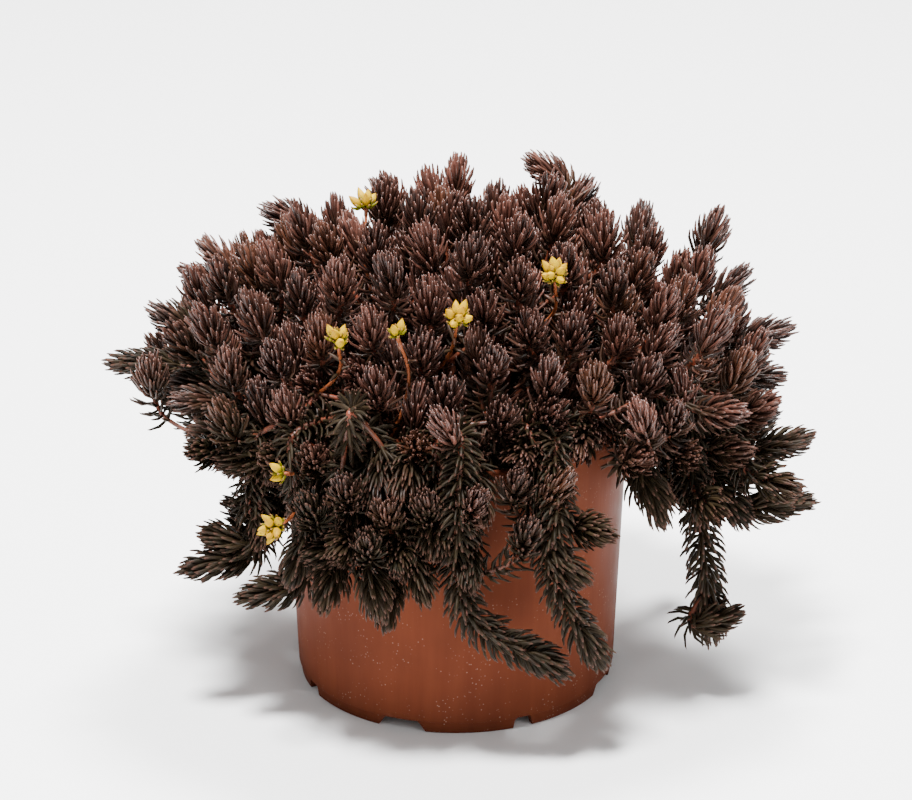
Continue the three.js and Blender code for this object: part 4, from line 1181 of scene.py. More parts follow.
def leafy_head(leaves, path, start, rng, core, per_mm, point):
    """A brush of leaves from its lowest, widest turn to the tuft at its tip."""
    end = path.length - HEAD_SHORT
    age = leaf_age_and_shade(point, rng)
    marks = (drawn(rng, *HEAD_TONE), (age + HEAD_FOOT_AGE, age), rng.random())
    count = int((end - start) * per_mm)
    openness = mix(HEAD_CLOSED, 1, OPEN_STRAY * rng.random() + OPEN_AGED * age)
    angles = (HEAD_ANGLES[0], [angle * openness for angle in HEAD_ANGLES[1]], HEAD_ANGLES[2])
    growth = mix(HEAD_SMALL, 1, rng.random())
    lengths = (HEAD_LENGTHS[0], [length * growth for length in HEAD_LENGTHS[1]])
    turn = rng.random() * ANY_TURN
    shed_leaves(leaves, path, start, end, count, rng, angles, lengths, core, marks, turn)


def older_leaves(leaves, path, start, end, rng, core, per_mm, point):
    """The looser, older leaves on the stem below a head."""
    if end - start < SHORT_STRETCH:
        return
    age = leaf_age_and_shade(point, rng) + STEM_AGED
    marks = (drawn(rng, *STEM_TONE), (age + STEM_FOOT_AGE, age), rng.random())
    count = int((end - start) * per_mm)
    turn = rng.random() * ANY_TURN
    shed_leaves(leaves, path, start, end, count, rng, STEM_ANGLES, STEM_LENGTHS, core, marks, turn)


def stem_marks(age, rng):
    return (float(rng.random()), float(age), float(rng.random()))


def dress_sprig(sprig, number, materials):
    """The fine piece of one leafy stem: its stems, its heads of leaves and its older leaves."""
    rng = np.random.default_rng(LEAF_SEED + number)
    surface = Surface()
    fine = Leaves()
    plain = Leaves()
    strip = (1 - LEAF_STRIP) / len(sprig.shoots)
    for i, shoot in enumerate(sprig.shoots):
        place = (LEAF_STRIP + i * strip, strip)
        path = Path([*shoot.points, shoot.end])
        if isinstance(shoot, Stalk):
            radii = ([0, path.length], [STALK_RADIUS, STALK_RADIUS * STALK_TAPER])
            draw_tube(surface, path, path.length, radii, TUBE_SIDES, place, stem_marks(0, rng))
            start, end = path.length * BRACTS_FROM, path.length - BRACTS_END
            shed_leaves(plain, path, start, end, BRACTS, rng, BRACT_ANGLES, BRACT_LENGTHS, radii, BRACT_MARKS)
            continue
        leafy = path.mark([shoot.points[shoot.leaf_from]])[0]
        radii = (
            [0, leafy, path.length],
            [shoot.radii[0] * STEM_SLIM, shoot.radii[shoot.leaf_from] * STEM_SLIM, CORE_END],
        )
        draw_tube(surface, path, path.length - TUBE_SHORT, radii, TUBE_SIDES, place, stem_marks(0.5, rng))
        if shoot.head is None:
            head_start = path.length - TRAILER_HEAD
            first = path.length * TRAILER_BARE
            older_leaves(fine, path, first, head_start, rng, radii, TRAILER_LEAVES, shoot.end)
        else:
            head_start = leafy
            hangs = shoot.end[2] < HANGS_BELOW
            first = max(leafy - (HANG_LEAFY if hangs else STEM_LEAFY), path.length * STEM_BARE)
            per_mm = HANG_LEAVES if hangs else STEM_LEAVES
            older_leaves(plain, path, first, leafy, rng, radii, per_mm, shoot.end)
        leafy_head(fine, path, head_start, rng, radii, HEAD_LEAVES, shoot.end)
    corner, inner = leaf_cells(fine.count() + plain.count())
    fine.draw(surface, FINE_RINGS, FINE_SHARES, corner[: fine.count()], inner)
    plain.draw(surface, PLAIN_RINGS, PLAIN_SHARES, corner[fine.count() :], inner)
    piece = surface.object(sprig.name + "_fine", materials)
    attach(piece, "root")
    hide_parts(sprig.name)


# Shoots between the leafy stems, which close the mound


def skirt_reach(azimuth):
    """How far down the mound's shoots reach at an azimuth, as a polar angle in degrees."""
    around = (math.degrees(azimuth) + 180) % 360 - 180
    return float(np.interp(around, SKIRT_REACH[0], SKIRT_REACH[1]))


def upturn_share(height):
    """How far a further shoot at a height may turn up: not at all at the rim, and fully on the mound."""
    return float(np.clip((height - POT_HEIGHT) / EXTRA_UP_SPAN, 0, 1))


def hides_buds(head, buds):
    """Whether a head stands in front of a head of buds, as seen from the front and above."""
    view = pointing(*BUD_VIEW)
    for place in (head.tip, head.middle()):
        away = place - buds
        ahead = away @ view
        beside = np.linalg.norm(away - ahead[:, None] * view, axis=1)
        if np.any((ahead > 0) & (beside < BUD_ROOM)):
            return True
    return False


def extra_heads(sprigs, rng):
    """Heads over the front of the pot, and at spots of an even pattern, where no other head stands."""
    heads_of_solids = [shoot.head.middle() for sprig in sprigs for shoot in sprig.shoots if shoot.head]
    taken = list(heads_of_solids)
    for sprig in sprigs:
        for shoot in sprig.shoots:
            if shoot.head is None and not isinstance(shoot, Stalk):
                taken.extend(shoot.points[shoot.leaf_from :: TRAILER_SKIP])
    buds = np.array([flower[1] for flower in FLOWER_HEADS], float)
    heads = []
    for tip, heading, rise in EXTRA_PLACED:
        head = Head(vec(*tip), pointing(heading, rise))
        if np.linalg.norm(np.array(heads_of_solids) - head.middle(), axis=1).min() > PLACED_ROOM:
            heads.append(head)
            taken.append(head.middle())
    for level, count, spacing in EXTRA_LEVELS:
        for i in range(count):
            polar = math.acos(1 - EXTRA_DOWN * (i + 0.5) / count)
            azimuth = i * GOLDEN_ANGLE
            if math.degrees(polar) > skirt_reach(azimuth):
                continue
            tip = mound_point(polar, azimuth)
            if polar < QUARTER_TURN:
                tip = UP * MOUND_Z + (tip - UP * MOUND_Z) * level
            else:
                tip[:2] *= mix(1, level, 0.5)
            astray = UP * EXTRA_UP + (rng.random(3) - 0.5) * EXTRA_ASTRAY
            head = Head(tip, unit(mound_direction(tip, rng.random) + astray * upturn_share(tip[2])))
            tuck_in(head)
            clear_of_wall(head)
            middle = head.middle()
            if np.linalg.norm(np.array(taken) - middle, axis=1).min() < spacing:
                continue
            if np.linalg.norm(buds - head.tip, axis=1).min() < EXTRA_FROM_BUDS or hides_buds(head, buds):
                continue
            taken.append(middle)
            heads.append(head)
    return heads


def parent_points(sprigs):
    """Points of the main stems that a further shoot can grow from, with the way of the stem there."""
    points, ways = [], []
    for sprig in sprigs:
        shoot = sprig.shoots[0]
        path = Path([*shoot.points, shoot.end])
        marks = path.mark([shoot.points[1], shoot.points[shoot.leaf_from]])
        far = np.arange(marks[0] + PARENT_FROM, marks[1] + PARENT_TO, PARENT_STEP)
        at, way, _ = path.at(far)
        points.append(at)
        ways.append(way)
    return np.vstack(points), np.vstack(ways)


def meets_wall(points):
    from_wall = np.abs(np.hypot(points[:, 0], points[:, 1]) - RIM_RADIUS + WALL / 2)
    return bool(np.any((from_wall < EXTRA_ROOM) & (points[:, 2] < POT_HEIGHT + EXTRA_ROOM)))


def extra_path(head, points, ways):
    """A path from the nearest stem to a head that keeps clear of the pot's wall."""
    base = head.base()
    gaps = np.linalg.norm(points - base, axis=1)
    rising = np.einsum("ij,j->i", base - points, head.way) > EXTRA_RISE * gaps
    order = np.argsort(np.where(rising, gaps, gaps * FALLING_WEIGHT + FALLING_ROOM))
    samples = np.linspace(0, 1, EXTRA_SAMPLES)
    for i in order[:PARENTS_TRIED]:
        run = RUN_IN * gaps[i]
        curve = (points[i], points[i] + ways[i] * run, base - head.way * run, base)
        if not meets_wall(np.array([bezier(*curve, share) for share in samples])):
            return [bezier(*curve, share) for share in EXTRA_SHARES]
    return None


def dress_extras(sprigs, materials):
    """The pieces of further shoots, one for each sector about the pot's axis."""
    rng = np.random.default_rng(EXTRA_SEED)
    points, ways = parent_points(sprigs)
    sectors = [[] for _ in range(EXTRA_PIECES)]
    for head in extra_heads(sprigs, rng):
        stem = extra_path(head, points, ways)
        if stem is None:
            continue
        around = math.atan2(head.tip[1], head.tip[0]) % FULL_TURN
        sectors[int(around / FULL_TURN * EXTRA_PIECES) % EXTRA_PIECES].append((head, stem))
    for number, members in enumerate(sectors):
        if not members:
            continue
        surface = Surface()
        leaves = Leaves()
        strip = (1 - LEAF_STRIP) / len(members)
        for i, (head, stem) in enumerate(members):
            path = Path([*stem, *head.core(), head.tip - head.way * TIP_REACH])
            leafy = path.mark([stem[-1]])[0]
            radii = ([0, leafy, path.length], [EXTRA_STEM, EXTRA_STEM, CORE_END])
            place = (LEAF_STRIP + i * strip, strip)
            end = path.length - TUBE_SHORT
            draw_tube(surface, path, end, radii, THIN_SIDES, place, stem_marks(0.5, rng))
            leafy_head(leaves, path, leafy, rng, radii, EXTRA_LEAVES, head.tip)
            hangs = head.tip[2] < HANGS_BELOW
            first = max(leafy - (HANG_LEAFY if hangs else EXTRA_LEAFY), path.length * EXTRA_BARE)
            older_leaves(leaves, path, first, leafy, rng, radii, STEM_LEAVES, head.tip)
        corner, inner = leaf_cells(leaves.count())
        leaves.draw(surface, PLAIN_RINGS, PLAIN_SHARES, corner, inner)
        piece = surface.object(f"extra_shoots_{number + 1}", materials)
        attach(piece, "root")


# Flower buds


def draw_bud(surface, base, way, length, radius, marks, place, rng):
    """A closed bud: five petals folded into a pointed oval, each with a low ridge."""
    side = unit(np.cross(way, vec(0.3, 0.5, 0.8)))
    other = np.cross(way, side)
    t = np.array(BUD_PROFILE[0])
    wide = np.array(BUD_PROFILE[1]) * radius
    around = np.arange(BUD_SIDES) * FULL_TURN / BUD_SIDES
    turn = rng.random() * ANY_TURN
    lobes = 1 + BUD_LOBE * t[:, None] * np.cos(PETALS * around[None] + turn)
    angles = around[None] + BUD_TWIST * t[:, None]
    bend = unit(side * math.cos(turn) + other * math.sin(turn)) * length * BUD_BEND
    middle = base + way * (t * length)[:, None] + bend * (t**2)[:, None]
    ends = (base - way * BUD_SINK, middle[-1] + way * length * BUD_POINT)
    corners = ring_corners(middle, side[None], other[None], wide[:, None] * lobes, angles, ends)
    quads, caps, along, around = ring_faces(len(t), BUD_SIDES)
    corner, size = place
    places = np.stack([around, along], -1) * size * BUD_INNER + corner + size * BUD_MARGIN
    cap_uvs = []
    for low, high in ((0, BUD_CAP), (1 - BUD_CAP, 1)):
        for k in range(BUD_SIDES):
            cap_uvs.append([(k / BUD_SIDES, low), ((k + 1) / BUD_SIDES, low), (k / BUD_SIDES, high)])
    cap_uvs = np.array(cap_uvs) * size * BUD_INNER + corner + size * BUD_MARGIN
    surface.add(corners, ring_marks(t, BUD_SIDES, marks), [quads, caps], [places, cap_uvs], LEAF_SLOT)


def dress_flowers(materials):
    """The heads of buds: a short stalk, and closed buds with their sepals on their own stalks."""
    for number, (name, at, buds, spread, heading, rise) in enumerate(FLOWER_HEADS):
        rng = np.random.default_rng(FLOWER_SEED + number)
        way = pointing(heading, rise)
        foot = vec(*at) - way * BUD_REACH
        side = unit(np.cross(way, UP))
        other = np.cross(way, side)
        surface = Surface()
        sepals = Leaves()
        count = int(buds * BUDS_FINE)
        stalk = Path([foot - way * BUD_STALK_SINK, foot + way * BUD_STALK_MIDDLE, foot + way * BUD_STALK_TOP])
        strip = (1 - LEAF_STRIP) / (count + 2)
        radii = ([0, stalk.length], [STALK_RADIUS, STALK_RADIUS * BUD_STALK_TAPER])
        place = (LEAF_STRIP, strip)
        draw_tube(surface, stalk, stalk.length, radii, BUD_STALK_SIDES, place, BUD_STALK_MARKS)
        places = []
        for i in range(count):
            share = math.sqrt((i + BUD_START) / count)
            lean = spread * BUD_FAN * share * DEGREE
            around = i * GOLDEN_ANGLE + number
            out = side * math.cos(around) + other * math.sin(around)
            start = foot + way * mix(BUD_STALK_TOP, LOWEST_STALKLET, share)
            aim = unit(way * math.cos(lean) + out * math.sin(lean))
            base = start + aim * (BUD_STALKLET * drawn(rng, *STALKLET_LENGTHS))
            length = BUD_LONG * drawn(rng, *BUD_LENGTHS)
            bud_way = unit(aim + UP * BUD_LIFT)
            bow = (start + base) / 2 + out * STALKLET_BOW
            stalklet = Path([start, bow, base + bud_way * STALKLET_SINK])
            thin = ([0, stalklet.length], STALKLET_RADII)
            place = (LEAF_STRIP + (i + 1) * strip, strip)
            draw_tube(surface, stalklet, stalklet.length, thin, TUBE_SIDES, place, STALKLET_MARKS)
            marks = (float(rng.random()), float(rng.random()), 0.0)
            radius = BUD_WIDE / 2 * drawn(rng, *BUD_WIDTHS)
            places.append((base, bud_way, length, radius, marks))
        across = int(math.ceil(math.sqrt(count)))
        size = np.array([0.5 / across, LEAF_STRIP / across])
        for i, (base, bud_way, length, radius, marks) in enumerate(places):
            corner = np.array([i % across, i // across]) * size
            draw_bud(surface, base, bud_way, length, radius, marks, (corner, size), rng)
            turn = unit(np.cross(bud_way, vec(0.2, 0.9, 0.3)))
            cross = np.cross(bud_way, turn)
            angles = np.arange(PETALS) * FULL_TURN / PETALS + rng.random() * ANY_TURN
            out = turn[None] * np.cos(angles)[:, None] + cross[None] * np.sin(angles)[:, None]
            root = base + out * radius * SEPAL_ROOT
            tints = np.tile([marks[0], marks[1], 1.0], (PETALS, 1))
            ways = np.tile(bud_way, (PETALS, 1))
            start, end = SEPAL_ANGLES
            sepals.add(root, ways, out, start * DEGREE, end * DEGREE, length * SEPAL_LONG, SEPAL_WIDE, tints)
        corner, inner = leaf_cells(count * PETALS)
        half = np.array([0.5, 1])
        sepals.draw(surface, FINE_RINGS, SEPAL_SHARES, corner * half + np.array([0.5, 0]), inner * half)
        piece = surface.object(name_of_flower(name) + "_fine", materials)
        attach(piece, "root")
        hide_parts(name_of_flower(name))


def name_of_flower(name):
    return "flower_buds_" + name


# The pot and its soil


def rounded(profile):
    """A profile of (radius, height, fillet) corners with each corner drawn as an arc."""
    points = []
    last = len(profile) - 1
    for i, (r, z, fillet) in enumerate(profile):
        here = np.array([r, z], float)
        if i in (0, last) or fillet == 0:
            points.append(here)
            continue
        back = np.array(profile[i - 1][:2], float) - here
        ahead = np.array(profile[i + 1][:2], float) - here
        a = here + back / np.linalg.norm(back) * fillet
        b = here + ahead / np.linalg.norm(ahead) * fillet
        for t in np.linspace(0, 1, FILLET_STEPS + 1):
            points.append(a * (1 - t) ** 2 + here * 2 * t * (1 - t) + b * t**2)
    return points


def solid_mesh(name, points, faces):
    mesh = bpy.data.meshes.new(name)
    mesh.from_pydata([tuple((np.asarray(p) + POT_AXIS) * MM) for p in points], [], faces)
    mesh.update()
    piece = bpy.data.objects.new(name, mesh)
    bpy.context.scene.collection.objects.link(piece)
    return piece


def turned(name, profile, sides):
    """A solid of revolution about the pot's axis from a profile that starts and ends on it."""
    inner = profile[1:-1]
    points = [vec(0, 0, profile[0][1])]
    for r, z in inner:
        for k in range(sides):
            angle = FULL_TURN * k / sides
            points.append(vec(r * math.cos(angle), r * math.sin(angle), z))
    points.append(vec(0, 0, profile[-1][1]))
    top = len(points) - 1
    faces = []
    for k in range(sides):
        after = (k + 1) % sides
        faces.append((0, 1 + after, 1 + k))
        for i in range(len(inner) - 1):
            low = 1 + i * sides
            faces.append((low + k, low + after, low + sides + after, low + sides + k))
        last = 1 + (len(inner) - 1) * sides
        faces.append((last + k, last + after, top))
    return solid_mesh(name, points, faces)


def prism(name, outline, start, depth, axes):
    """A straight prism: an outline in two axes, pushed along the third from a start."""
    across, up, along = axes
    rings = []
    for far in (0, depth):
        rings.extend(start + across * x + up * z + along * far for x, z in outline)
    count = len(outline)
    faces = [tuple(range(count))[::-1], tuple(range(count, 2 * count))]
    for k in range(count):
        after = (k + 1) % count
        faces.append((k, after, count + after, count + k))
    return solid_mesh(name, rings, faces)


def cut(piece, cutters):
    """Takes the cutters out of a piece, and removes them."""
    for cutter in cutters:
        modifier = piece.modifiers.new("cut", "BOOLEAN")
        modifier.operation = "DIFFERENCE"
        modifier.solver = "EXACT"
        modifier.object = cutter
    graph = bpy.context.evaluated_depsgraph_get()
    done = bpy.data.meshes.new_from_object(piece.evaluated_get(graph))
    piece.modifiers.clear()
    piece.data = done
    for cutter in cutters:
        bpy.data.objects.remove(cutter)


def make_pot(material):
    under_lip = POT_HEIGHT - LIP_HEIGHT
    profile = rounded([
        (0, FOOT_HEIGHT, 0),
        (FOOT_INNER, FOOT_HEIGHT, 0.4),
        (FOOT_INNER, 0, 0.5),
        (FOOT_OUTER - FOOT_DRAFT, 0, 0.6),
        (FOOT_OUTER, FOOT_HEIGHT, 0.25),
        (BASE_RADIUS, FOOT_HEIGHT, 0.3),
        (BASE_RADIUS + WALL_RISE * (under_lip - FOOT_HEIGHT), under_lip, 0.6),
        (RIM_RADIUS, under_lip + 0.5, 0.4),
        (RIM_RADIUS, POT_HEIGHT, 0.8),
        (RIM_RADIUS - LIP_OUT - WALL, POT_HEIGHT, 0.5),
        (BASE_RADIUS - WALL, FOOT_HEIGHT + FLOOR, 1.2),
        (0, FOOT_HEIGHT + FLOOR, 0),
    ])
    pot = turned("pot_moulded", profile, POT_SIDES)
    cutters = []
    roof = FOOT_HEIGHT - NOTCH_ROOF
    for i in range(NOTCH_COUNT):
        heading = FIRST_NOTCH + i * 360 / NOTCH_COUNT
        radial = pointing(heading, 0)
        at_floor, at_top = NARROW_NOTCH if i % 2 else WIDE_NOTCH
        outline = [
            (-at_floor / 2, -CUTTER_MARGIN),
            (at_floor / 2, -CUTTER_MARGIN),
            (at_floor / 2, 0),
            (at_top / 2 + NOTCH_FLARE, roof - NOTCH_CORNER),
            (at_top / 2 - NOTCH_INSET, roof),
            (-at_top / 2 + NOTCH_INSET, roof),
            (-at_top / 2 - NOTCH_FLARE, roof - NOTCH_CORNER),
            (-at_floor / 2, 0),
        ]
        start = radial * (FOOT_INNER - CUTTER_MARGIN)
        axes = (np.cross(UP, radial), UP, radial)
        cutters.append(prism(f"notch_{i}", outline, start, CUTTER_DEPTH, axes))
    angles = np.linspace(0, FULL_TURN, DRAIN_SIDES + 1)[:-1]
    circle = [(DRAIN_RADIUS * math.cos(angle), DRAIN_RADIUS * math.sin(angle)) for angle in angles]
    axes = (vec(1, 0, 0), vec(0, 1, 0), UP)
    for i in range(DRAIN_COUNT):
        centre = pointing(FIRST_NOTCH + i * 360 / DRAIN_COUNT, 0) * DRAIN_CIRCLE
        cutters.append(prism(f"drain_{i}", circle, centre - UP, CUTTER_DEPTH, axes))
    cut(pot, cutters)
    pot.data.materials.clear()
    pot.data.materials.append(material)
    for polygon in pot.data.polygons:
        polygon.use_smooth = True
        polygon.material_index = 0
    pot.data.set_sharp_from_angle(angle=SHARP_ANGLE * DEGREE)
    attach(pot, "root")
    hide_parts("pot")


def soil_height(x, y):
    """The soil's crown with its low waves."""
    far = np.hypot(x, y) / SOIL_EDGE
    crown = SOIL_CROWN * (1 - far)
    waves = 0.9 * np.sin(x * 0.31 + 1.3) * np.cos(y * 0.27)
    waves = waves + 0.6 * np.sin(x * 0.83 + y * 0.61) + 0.35 * np.cos(y * 1.9 - x * 1.3)
    return SOIL_TOP + crown + waves - SOIL_SINK


def make_soil(material):
    rng = np.random.default_rng(SOIL_SEED)
    rings, sides = SOIL_GRID
    points = [vec(0, 0, float(soil_height(0, 0)))]
    for i in range(1, rings + 1):
        radius = SOIL_EDGE * i / rings
        for k in range(sides):
            angle = FULL_TURN * k / sides
            x, y = radius * math.cos(angle), radius * math.sin(angle)
            points.append(vec(x, y, float(soil_height(x, y)) + (rng.random() - 0.5) * SOIL_ROUGH))
    bottom_z = FOOT_HEIGHT + FLOOR + SEAT_GAP
    for k in range(sides):
        angle = FULL_TURN * k / sides
        radius = BASE_RADIUS - WALL - 2 * SEAT_GAP
        points.append(vec(radius * math.cos(angle), radius * math.sin(angle), bottom_z))
    points.append(vec(0, 0, bottom_z))
    faces = []
    for k in range(sides):
        after = (k + 1) % sides
        faces.append((0, 1 + k, 1 + after))
        for i in range(rings):
            low = 1 + i * sides
            faces.append((low + k, low + sides + k, low + sides + after, low + after))
        foot = 1 + rings * sides
        faces.append((foot + k, len(points) - 1, foot + after))
    for _ in range(CRUMBS):
        radius = (SOIL_EDGE - CRUMB_MARGIN) * math.sqrt(rng.random())
        angle = rng.random() * FULL_TURN
        x, y = radius * math.cos(angle), radius * math.sin(angle)
        size = CRUMB_SIZES[0] + CRUMB_SIZES[1] * rng.random() ** 2
        centre = vec(x, y, float(soil_height(x, y)) + size * CRUMB_SIT)
        first = len(points)
        spots = np.array([(0, 0, 1), (0, 0, -1), (1, 0, 0), (-1, 0, 0), (0, 1, 0), (0, -1, 0)], float)
        edges = [(2, 4), (4, 3), (3, 5), (5, 2)]
        for spot in spots:
            points.append(centre + spot * size * (CRUMB_SHAPES[0] + CRUMB_SHAPES[1] * rng.random(3)))
        for a, b in edges:
            faces.append((first, first + a, first + b))
            faces.append((first + 1, first + b, first + a))
    soil = solid_mesh("soil_crumbly", points, faces)
    soil.data.materials.append(material)
    for polygon in soil.data.polygons:
        polygon.use_smooth = True
    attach(soil, "root")
    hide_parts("soil")


# Materials


class Shader:
    """A material with one Principled shader, and short ways to add and link nodes."""

    def __init__(self, name, **constants):
        self.material = bpy.data.materials.new(name)
        self.material.use_nodes = True
        self.tree = self.material.node_tree
        self.tree.nodes.clear()
        self.shader = self.tree.nodes.new("ShaderNodeBsdfPrincipled")
        output = self.tree.nodes.new("ShaderNodeOutputMaterial")
        self.link(self.shader.outputs["BSDF"], output.inputs["Surface"])
        for key, value in constants.items():
            self.shader.inputs[key.replace("_", " ")].default_value = value

    def link(self, start, end):
        self.tree.links.new(start, end)

    def use(self, value, socket):
        if isinstance(value, bpy.types.NodeSocket):
            self.link(value, socket)
        else:
            socket.default_value = value

    def marks(self):
        """The four marks of a corner: along, tone, age (which on the leaves also carries painted shade) and
        hue.
        """
        node = self.tree.nodes.new("ShaderNodeAttribute")
        node.attribute_type = "GEOMETRY"
        node.attribute_name = MARK
        split = self.tree.nodes.new("ShaderNodeSeparateColor")
        self.link(node.outputs["Color"], split.inputs["Color"])
        return split.outputs["Red"], split.outputs["Green"], split.outputs["Blue"], node.outputs["Alpha"]

    def place(self, scale=(1, 1, 1)):
        node = self.tree.nodes.new("ShaderNodeTexCoord")
        mapping = self.tree.nodes.new("ShaderNodeMapping")
        self.link(node.outputs["Object"], mapping.inputs["Vector"])
        mapping.inputs["Scale"].default_value = scale
        return mapping.outputs["Vector"]

    def noise(self, scale, detail=2.0, roughness=0.5, place=None):
        node = self.tree.nodes.new("ShaderNodeTexNoise")
        self.link(place or self.place(), node.inputs["Vector"])
        node.inputs["Scale"].default_value = scale
        node.inputs["Detail"].default_value = detail
        node.inputs["Roughness"].default_value = roughness
        return node.outputs["Fac"]

    def cells(self, scale):
        node = self.tree.nodes.new("ShaderNodeTexVoronoi")
        self.link(self.place(), node.inputs["Vector"])
        node.inputs["Scale"].default_value = scale
        return node.outputs["Distance"]

    def ramp(self, value, stops):
        node = self.tree.nodes.new("ShaderNodeValToRGB")
        self.use(value, node.inputs["Fac"])
        elements = node.color_ramp.elements
        while len(elements) < len(stops):
            elements.new(1.0)
        for element, (at, color) in zip(elements, stops):
            element.position = at
            element.color = (*color, 1.0) if isinstance(color, tuple) else (color, color, color, 1.0)
        return node.outputs["Color"]

    def mixed(self, share, a, b):
        node = self.tree.nodes.new("ShaderNodeMix")
        node.data_type = "RGBA"
        self.use(share, node.inputs["Factor"])
        inputs = [socket for socket in node.inputs if socket.type == "RGBA"]
        for value, socket in zip((a, b), inputs):
            self.use((*value, 1.0) if isinstance(value, tuple) else value, socket)
        return [socket for socket in node.outputs if socket.type == "RGBA"][0]

    def math(self, kind, a, b):
        node = self.tree.nodes.new("ShaderNodeMath")
        node.operation = kind
        self.use(a, node.inputs[0])
        self.use(b, node.inputs[1])
        return node.outputs["Value"]

    def bump(self, height, strength, distance):
        node = self.tree.nodes.new("ShaderNodeBump")
        node.inputs["Strength"].default_value = strength
        node.inputs["Distance"].default_value = distance
        self.link(height, node.inputs["Height"])
        self.link(node.outputs["Normal"], self.shader.inputs["Normal"])

    def color(self, value):
        self.link(value, self.shader.inputs["Base Color"])

    def roughness(self, value):
        self.link(value, self.shader.inputs["Roughness"])


def leaf_material():
    """Fleshy needles: chocolate brown with a redder back, darker and greener where old and, as painted shade,
    low down and on the left; painted shade at each leaf's foot and a painted highlight at its tip.
    """
    shader = Shader("needle_leaf")
    along, tone, age, hue = shader.marks()
    brown = shader.ramp(tone, [(0.0, LEAF_DARK), (0.45, LEAF_BROWN), (1.0, LEAF_ROSY)])
    # The age mark darkens and greens the leaves: partly older leaves, partly painted shade low on the mound
    # and on its left
    green = shader.ramp(tone, [(0.0, LEAF_DEEP_GREEN), (1.0, LEAF_OLIVE)])
    share = shader.ramp(age, [(0.2, 0.0), (0.75, 0.95)])
    odd = shader.ramp(hue, [(0.0, 0.0), (0.72, 0.0), (0.9, 0.45), (1.0, 0.6)])
    color = shader.mixed(share, shader.mixed(odd, brown, LEAF_RUST), green)
    blotch = shader.noise(260.0, 2.0)
    color = shader.mixed(shader.ramp(blotch, [(0.35, 0.0), (0.7, 0.5)]), color, LEAF_DARK)
    # Painted shade: each leaf's foot is darkened where the leaves crowd round the stem
    foot = shader.ramp(along, [(0.0, 0.85), (0.22, 0.35), (0.5, 0.0)])
    color = shader.mixed(foot, color, LEAF_FOOT_SHADE)
    # Painted highlight: each leaf's tip is lightened, over its own redder tint
    tip = shader.ramp(along, [(0.8, 0.0), (1.0, 0.6)])
    color = shader.mixed(tip, color, LEAF_TIP_AND_HIGHLIGHT)
    shader.color(color)
    fine = shader.noise(1900.0, 2.0)
    shine = shader.ramp(age, [(0.2, YOUNG_SHINE), (0.7, OLD_SHINE)])
    shader.link(shine, shader.shader.inputs["Specular IOR Level"])
    gloss = shader.ramp(shader.noise(500.0, 2.0), [(0.3, 0.28), (0.7, 0.42)])
    shader.roughness(shader.mixed(share, gloss, OLD_ROUGHNESS))
    shader.bump(fine, 0.35, 0.0002)
    return shader.material


def stem_material():
    shader = Shader("stem_skin", Specular_IOR_Level=0.4)
    along, _, age, _ = shader.marks()
    color = shader.ramp(shader.noise(180.0, 3.0), [(0.3, STEM_DARK), (0.55, STEM_BROWN), (0.75, STEM_ORANGE)])
    color = shader.mixed(shader.ramp(along, [(0.0, 0.0), (1.0, 0.35)]), color, STEM_ORANGE)
    color = shader.mixed(shader.ramp(age, [(0.0, 0.8), (0.5, 0.0)]), color, STALK_ORANGE)
    shader.color(color)
    shader.roughness(shader.ramp(shader.noise(400.0), [(0.3, 0.42), (0.7, 0.62)]))
    shader.bump(shader.noise(900.0, 3.0), 0.4, 0.0003)
    return shader.material


def bud_material():
    """Closed yellow petals with a green foot and a warm tip; the sepals round them are greener."""
    shader = Shader("bud_petal", Specular_IOR_Level=0.12)
    along, _, age, leafy = shader.marks()
    stops = [(0.0, BUD_GREEN), (0.28, BUD_LIME), (0.55, BUD_YELLOW), (0.86, BUD_YELLOW), (1.0, BUD_TIP)]
    petal = shader.ramp(along, stops)
    warm = shader.ramp(age, [(0.45, 0.0), (1.0, 0.45)])
    petal = shader.mixed(warm, petal, BUD_WARM)
    sepal = shader.ramp(along, [(0.0, BUD_GREEN), (0.7, SEPAL_GREEN), (1.0, SEPAL_TIP)])
    color = shader.mixed(leafy, petal, sepal)
    pale = shader.ramp(shader.noise(420.0, 2.0), [(0.35, 0.0), (0.7, 0.3)])
    color = shader.mixed(pale, color, BUD_LIME)
    shader.color(color)
    shader.roughness(shader.ramp(shader.noise(600.0), [(0.3, 0.4), (0.7, 0.55)]))
    shader.bump(shader.noise(1200.0, 2.0), 0.25, 0.0002)
    return shader.material


def pot_material():
    """Moulded brown plastic: satin, a little cloudy, with pale specks of dust."""
    shader = Shader("moulded_plastic", Specular_IOR_Level=0.5, IOR=POT_IOR)
    streaks = shader.noise(1.0, 3.0, 0.6, shader.place((160, 160, 12)))
    color = shader.ramp(streaks, [(0.3, POT_BROWN), (0.7, POT_LIGHT)])
    cloud = shader.noise(26.0, 3.0)
    color = shader.mixed(shader.ramp(cloud, [(0.35, 0.0), (0.7, 0.45)]), color, POT_DARK)
    split = shader.tree.nodes.new("ShaderNodeSeparateXYZ")
    shader.link(shader.place(), split.inputs["Vector"])
    height = shader.math("DIVIDE", split.outputs["Z"], POT_HEIGHT * MM)
    low = shader.ramp(height, [(0.0, 1.0), (0.25, 0.75), (1.0, 0.35)])
    specks = shader.ramp(shader.cells(620.0), [(0.0, 1.0), (0.14, 0.8), (0.22, 0.0)])
    seldom = shader.ramp(shader.noise(130.0, 2.0), [(0.48, 0.0), (0.62, 1.0)])
    dust = shader.math("MULTIPLY", shader.math("MULTIPLY", specks, seldom), low)
    color = shader.mixed(shader.math("MULTIPLY", dust, 0.25), color, POT_DUST)
    shader.color(color)
    shader.roughness(shader.ramp(shader.noise(60.0, 4.0), [(0.3, 0.4), (0.7, 0.52)]))
    shader.bump(shader.noise(1.0, 3.0, 0.6, shader.place((900, 900, 60))), 0.12, 0.0003)
    return shader.material


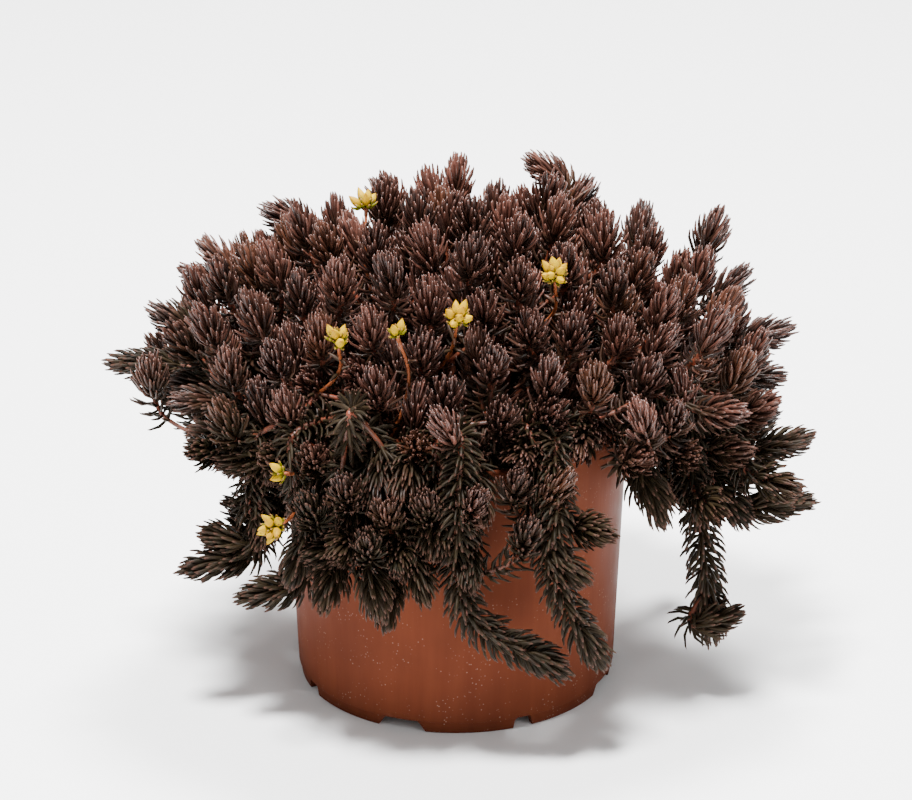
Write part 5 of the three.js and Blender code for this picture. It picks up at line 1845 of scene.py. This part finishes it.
def soil_material():
    shader = Shader("potting_peat", Specular_IOR_Level=0.2)
    grain = shader.noise(420.0, 4.0, 0.65)
    color = shader.ramp(grain, [(0.3, SOIL_DARK), (0.55, SOIL_BROWN), (0.8, SOIL_PALE)])
    shader.color(color)
    shader.roughness(shader.ramp(shader.noise(90.0), [(0.0, 0.85), (1.0, 0.98)]))
    shader.bump(grain, 0.8, 0.0015)
    return shader.material


def floor_material():
    shader = Shader("pale_floor", Specular_IOR_Level=0.2)
    shader.color(shader.ramp(shader.noise(3.0), [(0.0, FLOOR_WHITE), (1.0, FLOOR_PALE)]))
    shader.roughness(shader.ramp(shader.noise(8.0), [(0.0, 0.8), (1.0, 0.9)]))
    return shader.material


# The floor, the light and the camera


def make_stage():
    half = FLOOR_SIZE / 2
    corners = [(-half, -half, 0), (half, -half, 0), (half, half, 0), (-half, half, 0)]
    mesh = bpy.data.meshes.new("floor")
    mesh.from_pydata(corners, [], [(0, 1, 2, 3)])
    mesh.materials.append(floor_material())
    floor = bpy.data.objects.new("floor", mesh)
    bpy.context.scene.collection.objects.link(floor)


def make_light(name, place, aim, size, power):
    data = bpy.data.lights.new(name, "AREA")
    data.shape = "DISK"
    data.size = size
    data.energy = power
    light = bpy.data.objects.new(name, data)
    light.location = place
    way = np.array(aim, float) - np.array(place, float)
    light.rotation_euler = Vector(way).to_track_quat("-Z", "Y").to_euler()
    bpy.context.scene.collection.objects.link(light)


def make_lights():
    for light in LIGHTS:
        make_light(*light)
    world = bpy.data.worlds.new("studio")
    world.use_nodes = True
    background = world.node_tree.nodes["Background"]
    background.inputs["Color"].default_value = (*WORLD_COLOR, 1)
    background.inputs["Strength"].default_value = WORLD_STRENGTH
    bpy.context.scene.world = world


def make_camera():
    data = bpy.data.cameras.new("camera")
    data.lens = CAMERA_LENS
    data.sensor_width = CAMERA_SENSOR
    data.clip_end = 20
    camera = bpy.data.objects.new("camera", data)
    camera.location = CAMERA_PLACE
    camera.rotation_euler = (math.radians(90 - CAMERA_PITCH), 0, 0)
    bpy.context.scene.collection.objects.link(camera)
    bpy.context.scene.camera = camera


make_camera()
make_stage()
make_lights()
make_pot(pot_material())
make_soil(soil_material())
foliage = [leaf_material(), stem_material()]
plant = grow_layout()
for number, sprig in enumerate(plant):
    dress_sprig(sprig, number, foliage)
dress_extras(plant, foliage)
dress_flowers([bud_material(), foliage[1]])

bpy.context.view_layer.update()
